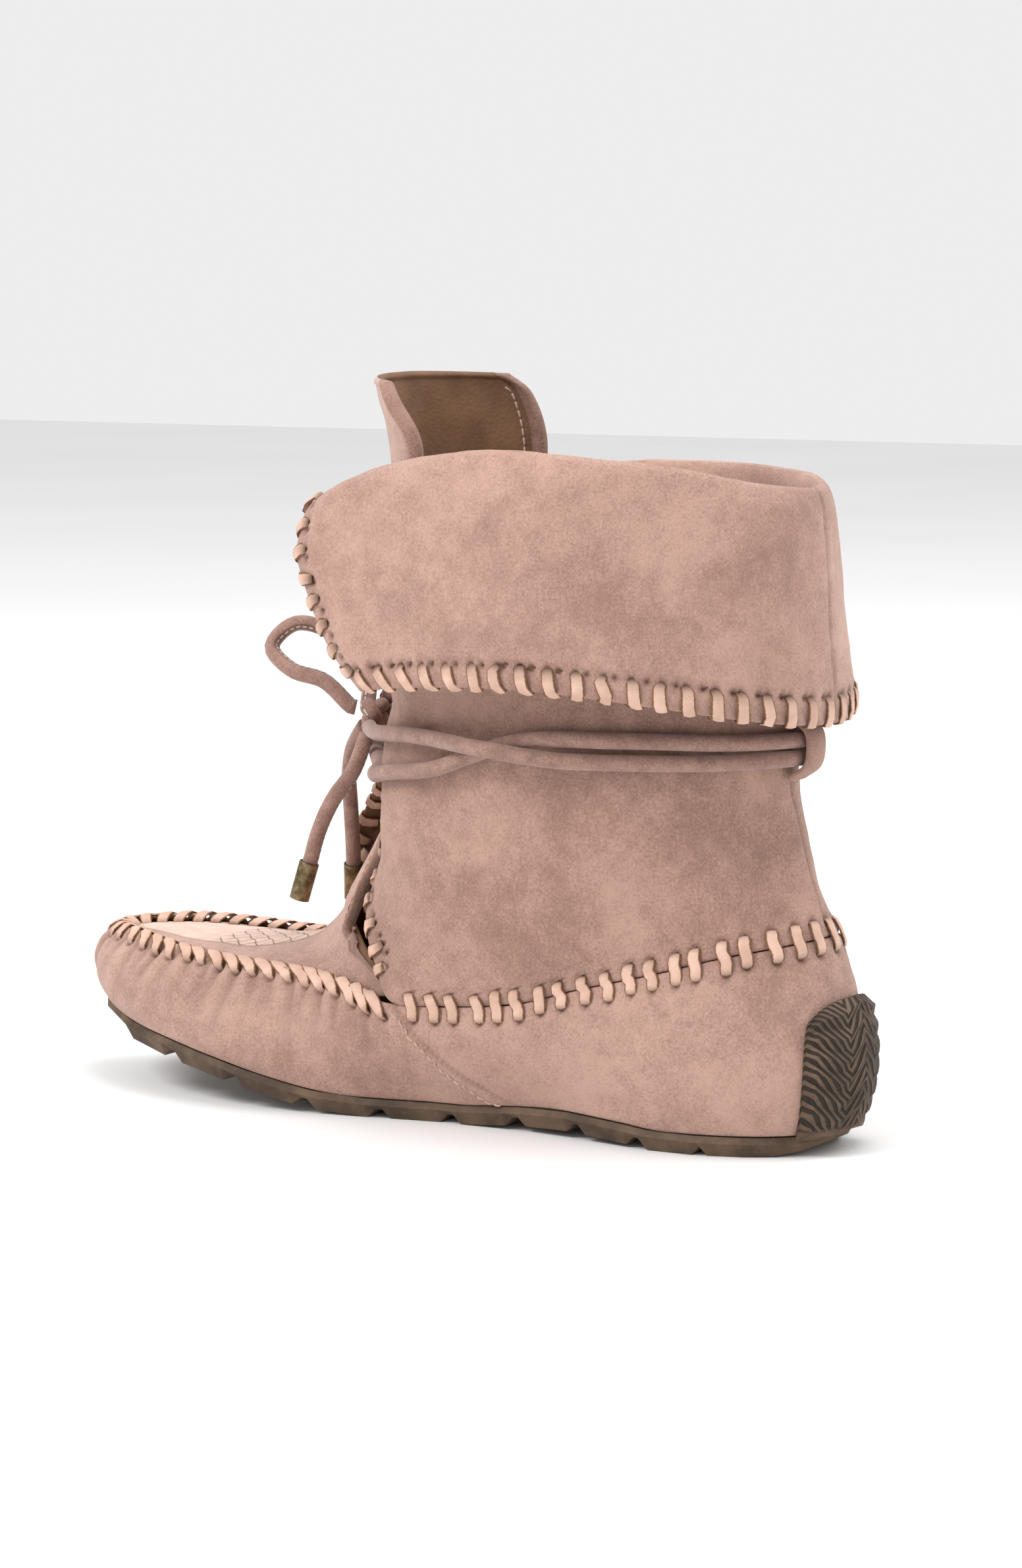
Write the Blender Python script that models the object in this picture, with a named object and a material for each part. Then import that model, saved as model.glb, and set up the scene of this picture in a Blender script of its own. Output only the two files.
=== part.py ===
import functools
import math

import bmesh
import bpy
import numpy as np

# A moccasin boot for the right foot, in metres. The toe points to -X, the inner
# (near) side is -Y, and the floor is z = 0 under the flat lugs of the sole.

# Sole
SOLE_LENGTH = 0.242
BALL_WIDTH = 0.0895
HEEL_SHARE = 0.4835           # how much of the sole lies behind the origin
SOLE_THICKNESS = 0.0054       # with the lugs
LUG_DEPTH = 0.0024
LUG_RAMP = 0.0022
SOLE_BEVEL = 0.0012
TOE_SPRING = 0.0184
TAB_HEIGHT = 0.0420
TAB_HALF_TURN = 0.050         # the tab's half width, as a share of a turn round the sole
TAB_THICKNESS = 0.0026
TAB_RIB = 0.0009
TAB_ZIGZAG = 0.0070

# Upper and insole
UPPER_WALL = 0.0018
FEATHER_INSET = 0.0010        # the sole stands out past the wrap by this
ANKLE_HEIGHT = 0.0575         # ankle seam above the floor at the heel
INSOLE_THICKNESS = 0.0025
APRON_WALL = 0.0018
APRON_DROP = 0.0022           # the gathered edge of the wrap stands above the apron
TONGUE_TOP = 0.207
ROLLED_EDGE = 0.0042
CLEARANCE = 0.0003

# Shaft and cuff
SHAFT_HEIGHT = 0.188
SHAFT_WIDTH = 0.100
SHAFT_WALL = 0.0019

# Tie
TIE_DIAMETER = 0.0044
TIE_CLEARANCE = 0.0011
TIE_HEIGHT = 0.107
LOOP_WIDTH = 0.0095
LOOP_WALL = 0.0018
KNOT_WIDTH = 0.0100
KNOT_HEIGHT = 0.0122
AGLET_LENGTH = 0.0105
AGLET_DIAMETER = 0.0058


def table(names, *rows):
    columns = np.array(rows, float).T
    return dict(zip(names.split(), columns))


# The foot's loops from heel (u 0) to toe (u 1). Widths are half widths over the
# round of the ends, as shares of the ball width; seam_z is a share of the ankle
# height; the bulges say how far the wall swells, as shares of the ball width.
LAST = table(
    "u foot_near foot_far seam_near seam_far seam_z low_bulge high_bulge",
    (0.00, 0.570, 0.570, 0.540, 0.540, 1.000, 0.100, 0.061),
    (0.08, 0.510, 0.520, 0.500, 0.505, 0.930, 0.080, 0.050),
    (0.15, 0.462, 0.480, 0.450, 0.460, 0.845, 0.065, 0.040),
    (0.25, 0.380, 0.439, 0.414, 0.430, 0.740, 0.058, 0.035),
    (0.35, 0.322, 0.434, 0.408, 0.430, 0.630, 0.060, 0.038),
    (0.45, 0.320, 0.460, 0.420, 0.447, 0.600, 0.066, 0.042),
    (0.50, 0.346, 0.482, 0.425, 0.447, 0.598, 0.066, 0.046),
    (0.56, 0.390, 0.510, 0.388, 0.405, 0.650, 0.060, 0.060),
    (0.65, 0.469, 0.556, 0.355, 0.372, 0.683, 0.056, 0.074),
    (0.72, 0.523, 0.579, 0.360, 0.378, 0.690, 0.056, 0.084),
    (0.80, 0.565, 0.559, 0.370, 0.385, 0.702, 0.058, 0.090),
    (0.88, 0.592, 0.533, 0.380, 0.385, 0.728, 0.066, 0.092),
    (0.94, 0.588, 0.469, 0.380, 0.372, 0.745, 0.076, 0.096),
    (1.00, 0.536, 0.458, 0.370, 0.370, 0.735, 0.088, 0.102))
SEAM_HEEL_SHARE = 0.4640      # the seam's loop starts and ends inside the sole's
SEAM_LENGTH_SHARE = 0.968
ANKLE_CORNER = 0.492          # where the ankle seam turns up into the throat

SPRING = table(
    "u rise",
    (0.00, 0.00), (0.16, 0.00), (0.22, 0.06), (0.30, 0.11), (0.38, 0.06), (0.44, 0.00),
    (0.56, 0.00), (0.60, 0.05), (0.66, 0.20), (0.73, 0.41), (0.82, 0.64), (0.90, 0.80), (1.00, 1.00))
ROCKER = table(               # the heel's lower edge, rounded up behind
    "u rise",
    (0.00, 0.78), (0.012, 0.47), (0.030, 0.18), (0.055, 0.03), (0.075, 0.00), (1.00, 0.00))

LUG_COUNT = 9
LUG_START = 0.130
LUG_PITCH = 0.079
LUG_GROWTH = 0.0009
LUG_SHARE = 0.68
HEEL_PAD = 0.075, 0.112

TAB_FOOT = 0.0052
TAB_ROOT = 0.0030             # how far the tab's foot reaches into the sole
TAB_VALLEY = 0.45             # where the zigzag is lowest, as a share of the half width
TAB_COLUMNS = 17
TAB_ROWS = 15


def smooth(xs, ys, x):
    # a cubic through the rows of a table that never overshoots them
    x = np.asarray(x, float)
    rises = np.diff(ys) / np.diff(xs)
    product = rises[:-1] * rises[1:]
    total = np.where(product > 0, rises[:-1] + rises[1:], 1.0)
    slopes = np.concatenate([rises[:1], np.where(product > 0, 2 * product / total, 0.0), rises[-1:]])
    k = np.clip(np.searchsorted(xs, x) - 1, 0, len(xs) - 2)
    step = xs[k + 1] - xs[k]
    t = (x - xs[k]) / step
    start = ys[k] * (1 + 2 * t) * (1 - t) ** 2 + slopes[k] * step * t * (1 - t) ** 2
    end = ys[k + 1] * t * t * (3 - 2 * t) + slopes[k + 1] * step * t * t * (t - 1)
    return start + end


def last(column, u):
    return smooth(LAST["u"], LAST[column], u)


def side_name(side):
    return "near" if side < 0 else "far"


def sole_x(u):
    return SOLE_LENGTH * (HEEL_SHARE - u)


def sole_top(u):
    return TOE_SPRING * smooth(SPRING["u"], SPRING["rise"], u) + SOLE_THICKNESS


def sole_bottom(u, lug):
    # the lugs' faces (lug 1) or the grooves between them (lug 0)
    level = sole_top(u) - SOLE_THICKNESS + SOLE_THICKNESS * smooth(ROCKER["u"], ROCKER["rise"], u)
    return min(float(level) + LUG_DEPTH * (1 - lug), float(sole_top(u)) - SOLE_BEVEL)


def around(turn):
    # a turn of 0 to 1 runs from the heel along the near side, round the toe and back
    angle = 2 * math.pi * (turn % 1.0)
    side = -1 if angle < math.pi else 1
    return (1 - math.cos(angle)) / 2, abs(math.sin(angle)), side


def outline_point(turn, inset=0.0):
    u, bow, side = around(turn)
    point = np.array([sole_x(u), side * bow * BALL_WIDTH * float(last("foot_" + side_name(side), u)), 0.0])
    if inset:
        point = point - inset * outward(turn)
    return point


def outward(turn, loop=None):
    # level unit vector that points out of the loop
    loop = loop or outline_point
    step = 0.002
    run = loop(turn + step) - loop(turn - step)
    normal = np.array([-run[1], run[0], 0.0])
    return normal / np.linalg.norm(normal)


def seam_point(turn):
    u, bow, side = around(turn)
    x = SOLE_LENGTH * (SEAM_HEEL_SHARE - SEAM_LENGTH_SHARE * u)
    y = side * bow * BALL_WIDTH * float(last("seam_" + side_name(side), u))
    return np.array([x, y, ANKLE_HEIGHT * float(last("seam_z", u))])


def wrap_point(turn, rise):
    # the middle of the wrap's wall, from the feather line (0) to the seam (1)
    u = around(turn)[0]
    out = outward(turn)
    low = outline_point(turn, FEATHER_INSET + UPPER_WALL / 2)
    low[2] = float(sole_top(u)) + 1.4 * CLEARANCE
    high = seam_point(turn)
    height = high[2] - low[2]
    up = np.array([0.0, 0.0, height])
    first = low + out * BALL_WIDTH * float(last("low_bulge", u)) + 0.33 * up
    second = high + out * BALL_WIDTH * float(last("high_bulge", u)) - 0.30 * up
    t = rise
    return (low * (1 - t) ** 3 + 3 * first * t * (1 - t) ** 2
            + 3 * second * t * t * (1 - t) + high * t ** 3)


def grid_normals(grid, closed):
    rows = np.gradient(grid, axis=0)
    if closed:
        columns = np.roll(grid, -1, axis=1) - np.roll(grid, 1, axis=1)
    else:
        columns = np.gradient(grid, axis=1)
    normals = np.cross(columns, rows)
    return normals / np.linalg.norm(normals, axis=2, keepdims=True)


def mesh_object(name, vertices, faces, color, roughness, metallic=0.0):
    mesh = bpy.data.meshes.new(name)
    mesh.from_pydata([tuple(v) for v in vertices], [], faces)
    mesh.validate()
    form = bmesh.new()
    form.from_mesh(mesh)
    bmesh.ops.recalc_face_normals(form, faces=form.faces)
    form.to_mesh(mesh)
    form.free()
    mesh.shade_smooth()
    mesh.set_sharp_from_angle(angle=math.radians(40))
    piece = bpy.data.objects.new(name, mesh)
    bpy.context.collection.objects.link(piece)
    finish(piece, color, roughness, metallic)
    return piece


def finish(piece, color, roughness, metallic=0.0):
    material = bpy.data.materials.new(piece.name)
    material.use_nodes = True
    shader = material.node_tree.nodes["Principled BSDF"]
    shader.inputs["Base Color"].default_value = (*color, 1.0)
    shader.inputs["Roughness"].default_value = roughness
    shader.inputs["Metallic"].default_value = metallic
    material.diffuse_color = (*color, 1.0)
    piece.data.materials.clear()
    piece.data.materials.append(material)


def sheet_mesh(grid, outer, inner, closed=False, first=None, last_row=None):
    # a wall of two skins, outer and inner metres from the grid's own surface
    normals = grid_normals(grid, closed)
    if first is not None:
        normals[0] = first
    if last_row is not None:
        normals[-1] = last_row
    rows, columns = grid.shape[:2]
    outer = np.broadcast_to(outer, (rows, columns))[..., None]
    inner = np.broadcast_to(inner, (rows, columns))[..., None]
    skins = [grid + normals * outer, grid - normals * inner]
    vertices = np.concatenate([skin.reshape(-1, 3) for skin in skins])
    size = rows * columns
    faces = []
    reach = columns if closed else columns - 1

    def at(skin, row, column):
        return skin * size + row * columns + column % columns

    for row in range(rows - 1):
        for column in range(reach):
            corners = [(row, column), (row, column + 1), (row + 1, column + 1), (row + 1, column)]
            faces.append([at(0, *corner) for corner in corners])
            faces.append([at(1, *corner) for corner in reversed(corners)])
    for row in (0, rows - 1):
        for column in range(reach):
            faces.append([at(0, row, column), at(1, row, column),
                          at(1, row, column + 1), at(0, row, column + 1)])
    if not closed:
        for column in (0, columns - 1):
            for row in range(rows - 1):
                faces.append([at(0, row, column), at(1, row, column),
                              at(1, row + 1, column), at(0, row + 1, column)])
    return vertices, faces


def lug_stations():
    # (u, depth) along the sole: each lug is flat between two ramps
    ramp = LUG_RAMP / SOLE_LENGTH
    stations = []
    spans = [HEEL_PAD]
    for k in range(LUG_COUNT):
        start = LUG_START + LUG_PITCH * k + LUG_GROWTH * k * k
        pitch = LUG_PITCH + LUG_GROWTH * (2 * k + 1)
        spans.append((start, start + LUG_SHARE * pitch))
    for start, end in spans:
        stations += [(start - ramp, 0.0), (start, 1.0), (end, 1.0), (end + ramp, 0.0)]
    stations[0:2] = [(0.002, 1.0), (0.010, 1.0), (0.024, 1.0), (0.045, 1.0), (0.075, 1.0)]
    stations += [(0.955, 0.0), (0.985, 0.0), (0.997, 0.0)]
    return stations


def sole_ring(u, lug):
    # one section across the sole: flat top, beveled edge, lug or groove below
    angle = math.acos(1 - 2 * u)
    turn = angle / (2 * math.pi)
    ring = []
    top = float(sole_top(u))
    base = sole_bottom(u, lug)
    edge = top - 0.55 * min(top - base, SOLE_THICKNESS - LUG_DEPTH)
    near, far = outline_point(turn), outline_point(1 - turn)
    across = far - near
    wide = abs(across[1])
    bevel = min(SOLE_BEVEL / wide, 0.2)
    foot = min(1.6 * SOLE_BEVEL / wide, 0.17)
    shares = [(bevel, top), (0.5, top), (1 - bevel, top), (1.0, edge),
              (1 - foot, base), (0.80, base), (0.5, base), (0.20, base), (foot, base), (0.0, edge)]
    for share, height in shares:
        ring.append([near[0], near[1] + share * across[1], height])
    return ring


def zigzag(column):
    # high at the tab's middle and edges, low between them
    reach = abs(column)
    return 1 - reach / TAB_VALLEY if reach < TAB_VALLEY else (reach - TAB_VALLEY) / (1 - TAB_VALLEY)


def heel_tab():
    # a rubber tab up the back of the heel, its ribs bent into a zigzag
    columns = np.linspace(-1, 1, TAB_COLUMNS)
    rises = np.concatenate([[-0.023], np.linspace(0, 1, TAB_ROWS)])
    grid = np.zeros((TAB_ROWS + 1, TAB_COLUMNS, 3))
    outer = np.full((TAB_ROWS + 1, TAB_COLUMNS), TAB_THICKNESS)
    for i, rise in enumerate(rises):
        for j, column in enumerate(columns):
            turn = -TAB_HALF_TURN * (1 - 0.16 * rise ** 2) * column
            rounded = 1 - 0.13 * abs(column) ** 3
            height = TAB_FOOT + (TAB_HEIGHT * rounded - TAB_FOOT) * rise
            height += TAB_ZIGZAG * (zigzag(column) - 0.5) * math.sin(math.pi * max(rise, 0.0)) ** 0.7
            grid[i, j] = tab_seat(turn, height)
            if i % 2 == 0 and 0 < j < TAB_COLUMNS - 1:
                outer[i, j] += TAB_RIB
    outer[-1] = outer[:, 0] = outer[:, -1] = 0.55 * TAB_THICKNESS
    outer[0] = 0.15 * TAB_THICKNESS
    outer[1] = 0.30 * TAB_THICKNESS
    inner = np.zeros_like(outer)
    inner[0] = TAB_ROOT
    level = np.array([outward(-TAB_HALF_TURN * column) for column in columns])
    return sheet_mesh(grid, outer, inner, first=level)


def tab_seat(turn, height):
    # the outside of the wrap at this height, with the clearance to it
    low, high = 0.0, 1.0
    for _ in range(24):
        middle = (low + high) / 2
        if wrap_point(turn, middle)[2] < height:
            low = middle
        else:
            high = middle
    point = wrap_point(turn, low)
    if height < point[2]:
        point[2] = height
    return point + outward(turn) * (UPPER_WALL / 2 + 2 * CLEARANCE)


def build_outsole():
    stations = lug_stations()
    rings = [sole_ring(u, lug) for u, lug in stations]
    vertices = [point for ring in rings for point in ring]
    count = len(rings[0])
    faces = [list(range(count)), list(range(len(vertices) - count, len(vertices)))]
    for k in range(len(rings) - 1):
        for j in range(count):
            following = (j + 1) % count
            faces.append([k * count + j, k * count + following,
                          (k + 1) * count + following, (k + 1) * count + j])
    sole = mesh_object("outsole", vertices, faces, (0.16, 0.105, 0.07), 0.55)
    tab = mesh_object("heel_tab_form", *heel_tab(), (0.22, 0.14, 0.09), 0.6)
    tab.hide_render = True
    tab.display_type = "WIRE"
    union = sole.modifiers.new("heel tab", "BOOLEAN")
    union.operation = "UNION"
    union.object = tab
    return sole


def build_insole():
    inset = FEATHER_INSET + UPPER_WALL + 2 * CLEARANCE + 0.0004
    stations = [0.0125, 0.04, 0.09, 0.16, 0.25, 0.35, 0.45, 0.55, 0.62,
                0.69, 0.76, 0.83, 0.89, 0.94, 0.972, 0.988]
    shares = np.linspace(0, 1, 5)
    vertices = []
    for u in stations:
        turn = math.acos(1 - 2 * u) / (2 * math.pi)
        near, far = outline_point(turn, inset), outline_point(1 - turn, inset)
        for share in shares:
            point = near + (far - near) * share
            vertices.append([point[0], point[1], float(sole_top(u)) + CLEARANCE + 0.0002])
    grid = np.array(vertices).reshape(len(stations), len(shares), 3)
    upright = np.zeros_like(grid)
    upright[..., 2] = INSOLE_THICKNESS
    skins = [grid + upright, grid]
    _, faces = sheet_mesh(grid, 1.0, 1.0)
    flat = np.concatenate([skin.reshape(-1, 3) for skin in skins])
    return mesh_object("insole", flat, faces, (0.17, 0.09, 0.05), 0.6)


def build_upper():
    turns = -np.arange(72) / 72
    rises = [0.0, 0.14, 0.30, 0.48, 0.66, 0.84, 1.0]
    grid = np.array([[wrap_point(turn, rise) for turn in turns] for rise in rises])
    level = np.array([outward(turn) for turn in turns])
    half = UPPER_WALL / 2
    vertices, faces = sheet_mesh(grid, half, half, closed=True, first=level, last_row=level)
    return mesh_object("upper", vertices, faces, (0.46, 0.27, 0.22), 0.9)


# The tongue's rows above the apron. x is a share of the sole's length, y of the
# ball width and z of the tongue's height.
TONGUE = table(
    "mid_x mid_z near_x near_y near_z far_x far_y far_z",
    (-0.158, 0.284, -0.025, -0.368, 0.172, -0.025, 0.390, 0.172),
    (-0.150, 0.290, -0.091, -0.308, 0.219, -0.091, 0.330, 0.219),
    (-0.137, 0.317, -0.109, -0.268, 0.247, -0.109, 0.288, 0.247),
    (-0.125, 0.343, -0.106, -0.201, 0.292, -0.106, 0.220, 0.292),
    (-0.111, 0.380, -0.091, -0.136, 0.352, -0.091, 0.155, 0.352),
    (-0.083, 0.445, -0.046, -0.168, 0.435, -0.046, 0.190, 0.435),
    (-0.060, 0.512, -0.008, -0.200, 0.507, -0.008, 0.225, 0.507),
    (-0.055, 0.630, 0.006, -0.250, 0.628, 0.008, 0.275, 0.628),
    (-0.070, 0.773, 0.000, -0.313, 0.773, 0.017, 0.335, 0.773),
    (-0.087, 0.893, 0.000, -0.308, 0.893, 0.022, 0.340, 0.893),
    (-0.098, 0.970, -0.032, -0.300, 0.958, 0.004, 0.322, 0.968),
    (-0.103, 0.997, -0.052, -0.272, 0.988, -0.018, 0.280, 0.994))
APRON = table(
    "u lead crown",
    (0.992, 0.006, 0.000), (0.965, 0.003, 0.006), (0.92, 0.004, 0.012), (0.86, 0.008, 0.020),
    (0.79, 0.014, 0.034), (0.72, 0.026, 0.056), (0.65, 0.046, 0.090), (0.59, 0.076, 0.155),
    (0.545, 0.100, 0.240))


def apron_edge(turn):
    # inside the wrap's gathered edge and a little below it
    inset = UPPER_WALL / 2 + CLEARANCE + 0.0010
    point = seam_point(turn) - inset * outward(turn, seam_point)
    point[2] -= APRON_DROP
    return point


def apron_rows():
    rows = []
    for u, lead, crown in zip(APRON["u"], APRON["lead"], APRON["crown"]):
        turn = math.acos(1 - 2 * u) / (2 * math.pi)
        near, far = apron_edge(turn), apron_edge(1 - turn)
        middle = (near + far) / 2
        middle[0] -= lead * SOLE_LENGTH
        middle[2] += crown * BALL_WIDTH
        rows.append((near, middle, far))
    for k in range(len(TONGUE["mid_x"])):
        row = {name: column[k] for name, column in TONGUE.items()}
        near = np.array([row["near_x"] * SOLE_LENGTH, row["near_y"] * BALL_WIDTH, row["near_z"] * TONGUE_TOP])
        middle = np.array([row["mid_x"] * SOLE_LENGTH, 0.0, row["mid_z"] * TONGUE_TOP])
        far = np.array([row["far_x"] * SOLE_LENGTH, row["far_y"] * BALL_WIDTH, row["far_z"] * TONGUE_TOP])
        rows.append((near, middle, far))
    return rows


def between(rows, steps):
    # extra rows between those of a table, on a smooth curve through them
    rows = np.array(rows)
    places = np.arange(len(rows), dtype=float)
    fine = np.linspace(0, len(rows) - 1, steps)
    flat = rows.reshape(len(rows), -1)
    stacked = np.stack([smooth(places, column, fine) for column in flat.T], axis=1)
    return stacked.reshape(steps, *rows.shape[1:])


def build_apron_tongue():
    rows = between(apron_rows(), 29)
    shares = np.array([-1, -0.9, -0.66, -0.33, 0, 0.33, 0.66, 0.9, 1])
    grid = np.zeros((len(rows), len(shares), 3))
    for i, (near, middle, far) in enumerate(rows):
        for j, share in enumerate(shares):
            chord = (near + far) / 2 + (far - near) / 2 * share
            grid[i, j] = chord + (middle - (near + far) / 2) * (1 - abs(share) ** 2.2)
    half = np.full(grid.shape[:2], APRON_WALL / 2)
    throat = round(len(rows) * len(APRON["u"]) / (len(APRON["u"]) + len(TONGUE["mid_x"])))
    half[throat:-1, 0] = half[throat:-1, -1] = ROLLED_EDGE / 2
    half[:, 1] = half[:, -2] = APRON_WALL / 2
    vertices, faces = sheet_mesh(grid, half, half)
    return mesh_object("apron_tongue", vertices, faces, (0.48, 0.29, 0.23), 0.88)


# The shaft's sections, bottom to fold and down the cuff. x is a share of the
# sole's length, y of the shaft's width, z of the shaft's height. The wall ends in
# front at its near and far edges; point makes the back less round.
SHAFT = table(
    "near_x near_y near_z side_x side_near side_z back_x back_z side_far far_z_side far_x far_y far_z point",
    (-0.060, -0.210, 0.425, 0.103, -0.390, 0.300, 0.440, 0.385, 0.400, 0.300, -0.203, 0.190, 0.428, 1.15),
    (-0.066, -0.170, 0.485, 0.116, -0.400, 0.435, 0.422, 0.480, 0.410, 0.435, -0.157, 0.110, 0.489, 1.25),
    (-0.082, -0.070, 0.565, 0.132, -0.410, 0.560, 0.414, 0.560, 0.420, 0.560, -0.124, 0.075, 0.570, 1.25),
    (-0.056, -0.155, 0.634, 0.140, -0.420, 0.632, 0.418, 0.628, 0.430, 0.632, -0.120, 0.085, 0.634, 1.25),
    (-0.066, -0.280, 0.762, 0.156, -0.445, 0.775, 0.422, 0.760, 0.455, 0.765, -0.114, 0.280, 0.755, 1.25),
    (-0.088, -0.365, 0.852, 0.164, -0.462, 0.905, 0.424, 0.862, 0.472, 0.885, -0.106, 0.380, 0.835, 1.25),
    (-0.090, -0.380, 0.888, 0.164, -0.470, 0.968, 0.426, 0.915, 0.480, 0.934, -0.106, 0.395, 0.868, 1.25),
    (-0.103, -0.410, 0.911, 0.166, -0.500, 0.996, 0.438, 0.942, 0.510, 0.962, -0.116, 0.420, 0.891, 1.25),
    (-0.111, -0.440, 0.888, 0.169, -0.535, 0.968, 0.448, 0.915, 0.545, 0.934, -0.120, 0.450, 0.868, 1.25),
    (-0.111, -0.470, 0.848, 0.172, -0.560, 0.895, 0.453, 0.850, 0.570, 0.865, -0.116, 0.480, 0.835, 1.20),
    (-0.093, -0.490, 0.790, 0.176, -0.575, 0.802, 0.457, 0.765, 0.585, 0.790, -0.098, 0.500, 0.780, 1.14),
    (-0.058, -0.500, 0.706, 0.180, -0.585, 0.734, 0.462, 0.688, 0.595, 0.730, -0.060, 0.510, 0.702, 1.08),
    (-0.016, -0.500, 0.649, 0.184, -0.580, 0.668, 0.466, 0.612, 0.590, 0.666, -0.018, 0.510, 0.647, 1.05))
FLAP_CORNERS = (-0.060, -0.220, 0.372), (-0.252, 0.250, 0.348)
FLAP_SAGS = (-0.0105, 0.0045, 0.0015), (-0.0040, 0.0020, -0.0040)
FLAP_COLUMNS = 5, 6
SEAM_COLUMNS = 26
CORNER_TURN = math.acos(1 - 2 * ANKLE_CORNER) / (2 * math.pi)


def shaft_scale(point):
    return np.array(point) * (SOLE_LENGTH, SHAFT_WIDTH, SHAFT_HEIGHT)


def shaft_section(row):
    # points round one section, from the near front edge over the back to the far one
    points = []
    for quarter in range(4):
        near_half = quarter < 2
        side = row["side_near"] if near_half else row["side_far"]
        side_z = row["side_z"] if near_half else row["far_z_side"]
        edge = ([row["near_x"], row["near_y"], row["near_z"]] if near_half
                else [row["far_x"], row["far_y"], row["far_z"]])
        for step in np.linspace(0, 1, 16, endpoint=quarter == 3):
            angle = step * math.pi / 2
            if quarter in (1, 2):
                sweep = angle if quarter == 1 else math.pi / 2 - angle
                x = row["side_x"] + (row["back_x"] - row["side_x"]) * math.sin(sweep)
                y = side * abs(math.cos(sweep)) ** row["point"]
                z = side_z + (row["back_z"] - side_z) * math.sin(sweep) ** 2
            else:
                sweep = math.pi / 2 - angle if quarter == 0 else angle
                x = row["side_x"] + (edge[0] - row["side_x"]) * math.sin(sweep)
                y = edge[1] + (side - edge[1]) * math.cos(sweep)
                z = side_z + (edge[2] - side_z) * math.sin(sweep) ** 2
            points.append(shaft_scale((x, y, z)))
    return np.array(points)


def resample(points, shares):
    steps = np.linalg.norm(np.diff(points, axis=0), axis=1)
    length = np.concatenate([[0], np.cumsum(steps)])
    return np.stack([np.interp(shares, length / length[-1], column) for column in points.T], axis=1)


def free_edge(corner, seam, sag, count):
    # a flap's free lower edge, from its corner to the end of the ankle seam
    return [corner + (seam - corner) * t + np.array(sag) * math.sin(math.pi * t)
            for t in np.linspace(0, 1, count)[:-1]]


def ankle_edge():
    # the shaft's lower edge: on the wrap's seam, then free up to each flap's corner
    gap = np.array([0.0, 0.0, CLEARANCE])
    seam = [seam_point(turn) + gap for turn in np.linspace(CORNER_TURN, -CORNER_TURN, SEAM_COLUMNS + 1)]
    near, far = (shaft_scale(corner) for corner in FLAP_CORNERS)
    near_edge = free_edge(near, seam[0], FLAP_SAGS[0], FLAP_COLUMNS[0] + 1)
    far_edge = free_edge(far, seam[-1], FLAP_SAGS[1], FLAP_COLUMNS[1] + 1)
    return np.array(near_edge + seam + far_edge[::-1])


def shaft_grid():
    edge = ankle_edge()
    steps = np.linalg.norm(np.diff(edge, axis=0), axis=1)
    shares = np.concatenate([[0], np.cumsum(steps)]) / steps.sum()
    rows = [edge]
    for k in range(len(SHAFT["near_x"])):
        row = {name: column[k] for name, column in SHAFT.items()}
        rows.append(resample(shaft_section(row), shares))
    return np.array(rows), shares


@functools.lru_cache(maxsize=1)
def shaft_rows():
    grid, shares = shaft_grid()
    places = np.arange(len(grid), dtype=float)
    fine = np.array([0, 0.5, 1, 1.5, 2, 2.5, 3, 3.5, 4, 4.5, 5, 5.5, 6, 7, 7.5, 8, 8.5, 9, 10, 11, 12, 13])
    flat = grid.reshape(len(grid), -1)
    stacked = np.stack([smooth(places, column, fine) for column in flat.T], axis=1)
    return stacked.reshape(len(fine), *grid.shape[1:]), shares


def build_shaft():
    grid, _ = shaft_rows()
    first = grid_normals(grid, False)[0]
    turns = np.linspace(CORNER_TURN, -CORNER_TURN, SEAM_COLUMNS + 1)
    start = FLAP_COLUMNS[0]
    facing = np.sign(first[start + SEAM_COLUMNS // 2] @ outward(0.0))
    for k, turn in enumerate(turns):
        first[start + k] = outward(turn) * facing
    half = SHAFT_WALL / 2
    vertices, faces = sheet_mesh(grid, half, half, first=first)
    return mesh_object("shaft", vertices, faces, (0.44, 0.26, 0.21), 0.9)


# The tie. Each turn is a table of places round the shaft: share runs from the near
# front edge (0) over the back (0.5) to the far one (1), rise and lift are in cord
# diameters, above the tie's height and off the shaft.
TIE_FIRST = table(
    "share rise lift",
    (0.05, 0.10, 0.0), (0.113, 0.45, 0.0), (0.16, 0.58, 0.2), (0.19, 0.50, 0.6), (0.213, 0.40, 1.0),
    (0.238, 0.27, 1.2), (0.263, 0.05, 1.0), (0.29, -0.18, 0.5), (0.33, -0.35, 0.0), (0.50, -0.32, 0.0),
    (0.65, -0.23, 0.0), (0.80, -0.45, 0.0), (0.86, -0.70, 0.0), (0.90, -0.90, 0.0), (0.95, -1.20, 0.2),
    (0.99, -1.70, 0.4))
TIE_SECOND = table(
    "share rise lift",
    (0.05, -2.45, 0.0), (0.10, -1.95, 0.0), (0.15, -1.57, 0.0), (0.18, -1.10, 0.0), (0.207, -0.45, 0.0),
    (0.238, 0.45, 0.0), (0.269, 0.95, 0.0), (0.301, 1.05, 0.0), (0.35, 1.00, 0.0), (0.50, 0.80, 0.0),
    (0.65, 0.90, 0.0), (0.80, 0.68, 0.0), (0.88, 0.45, 0.4), (0.93, 0.20, 1.0), (0.97, 0.10, 1.35))
TIE_STEPS = 31
KNOT = np.array([-0.0330, -0.0010, TIE_HEIGHT + 0.0025])


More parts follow.
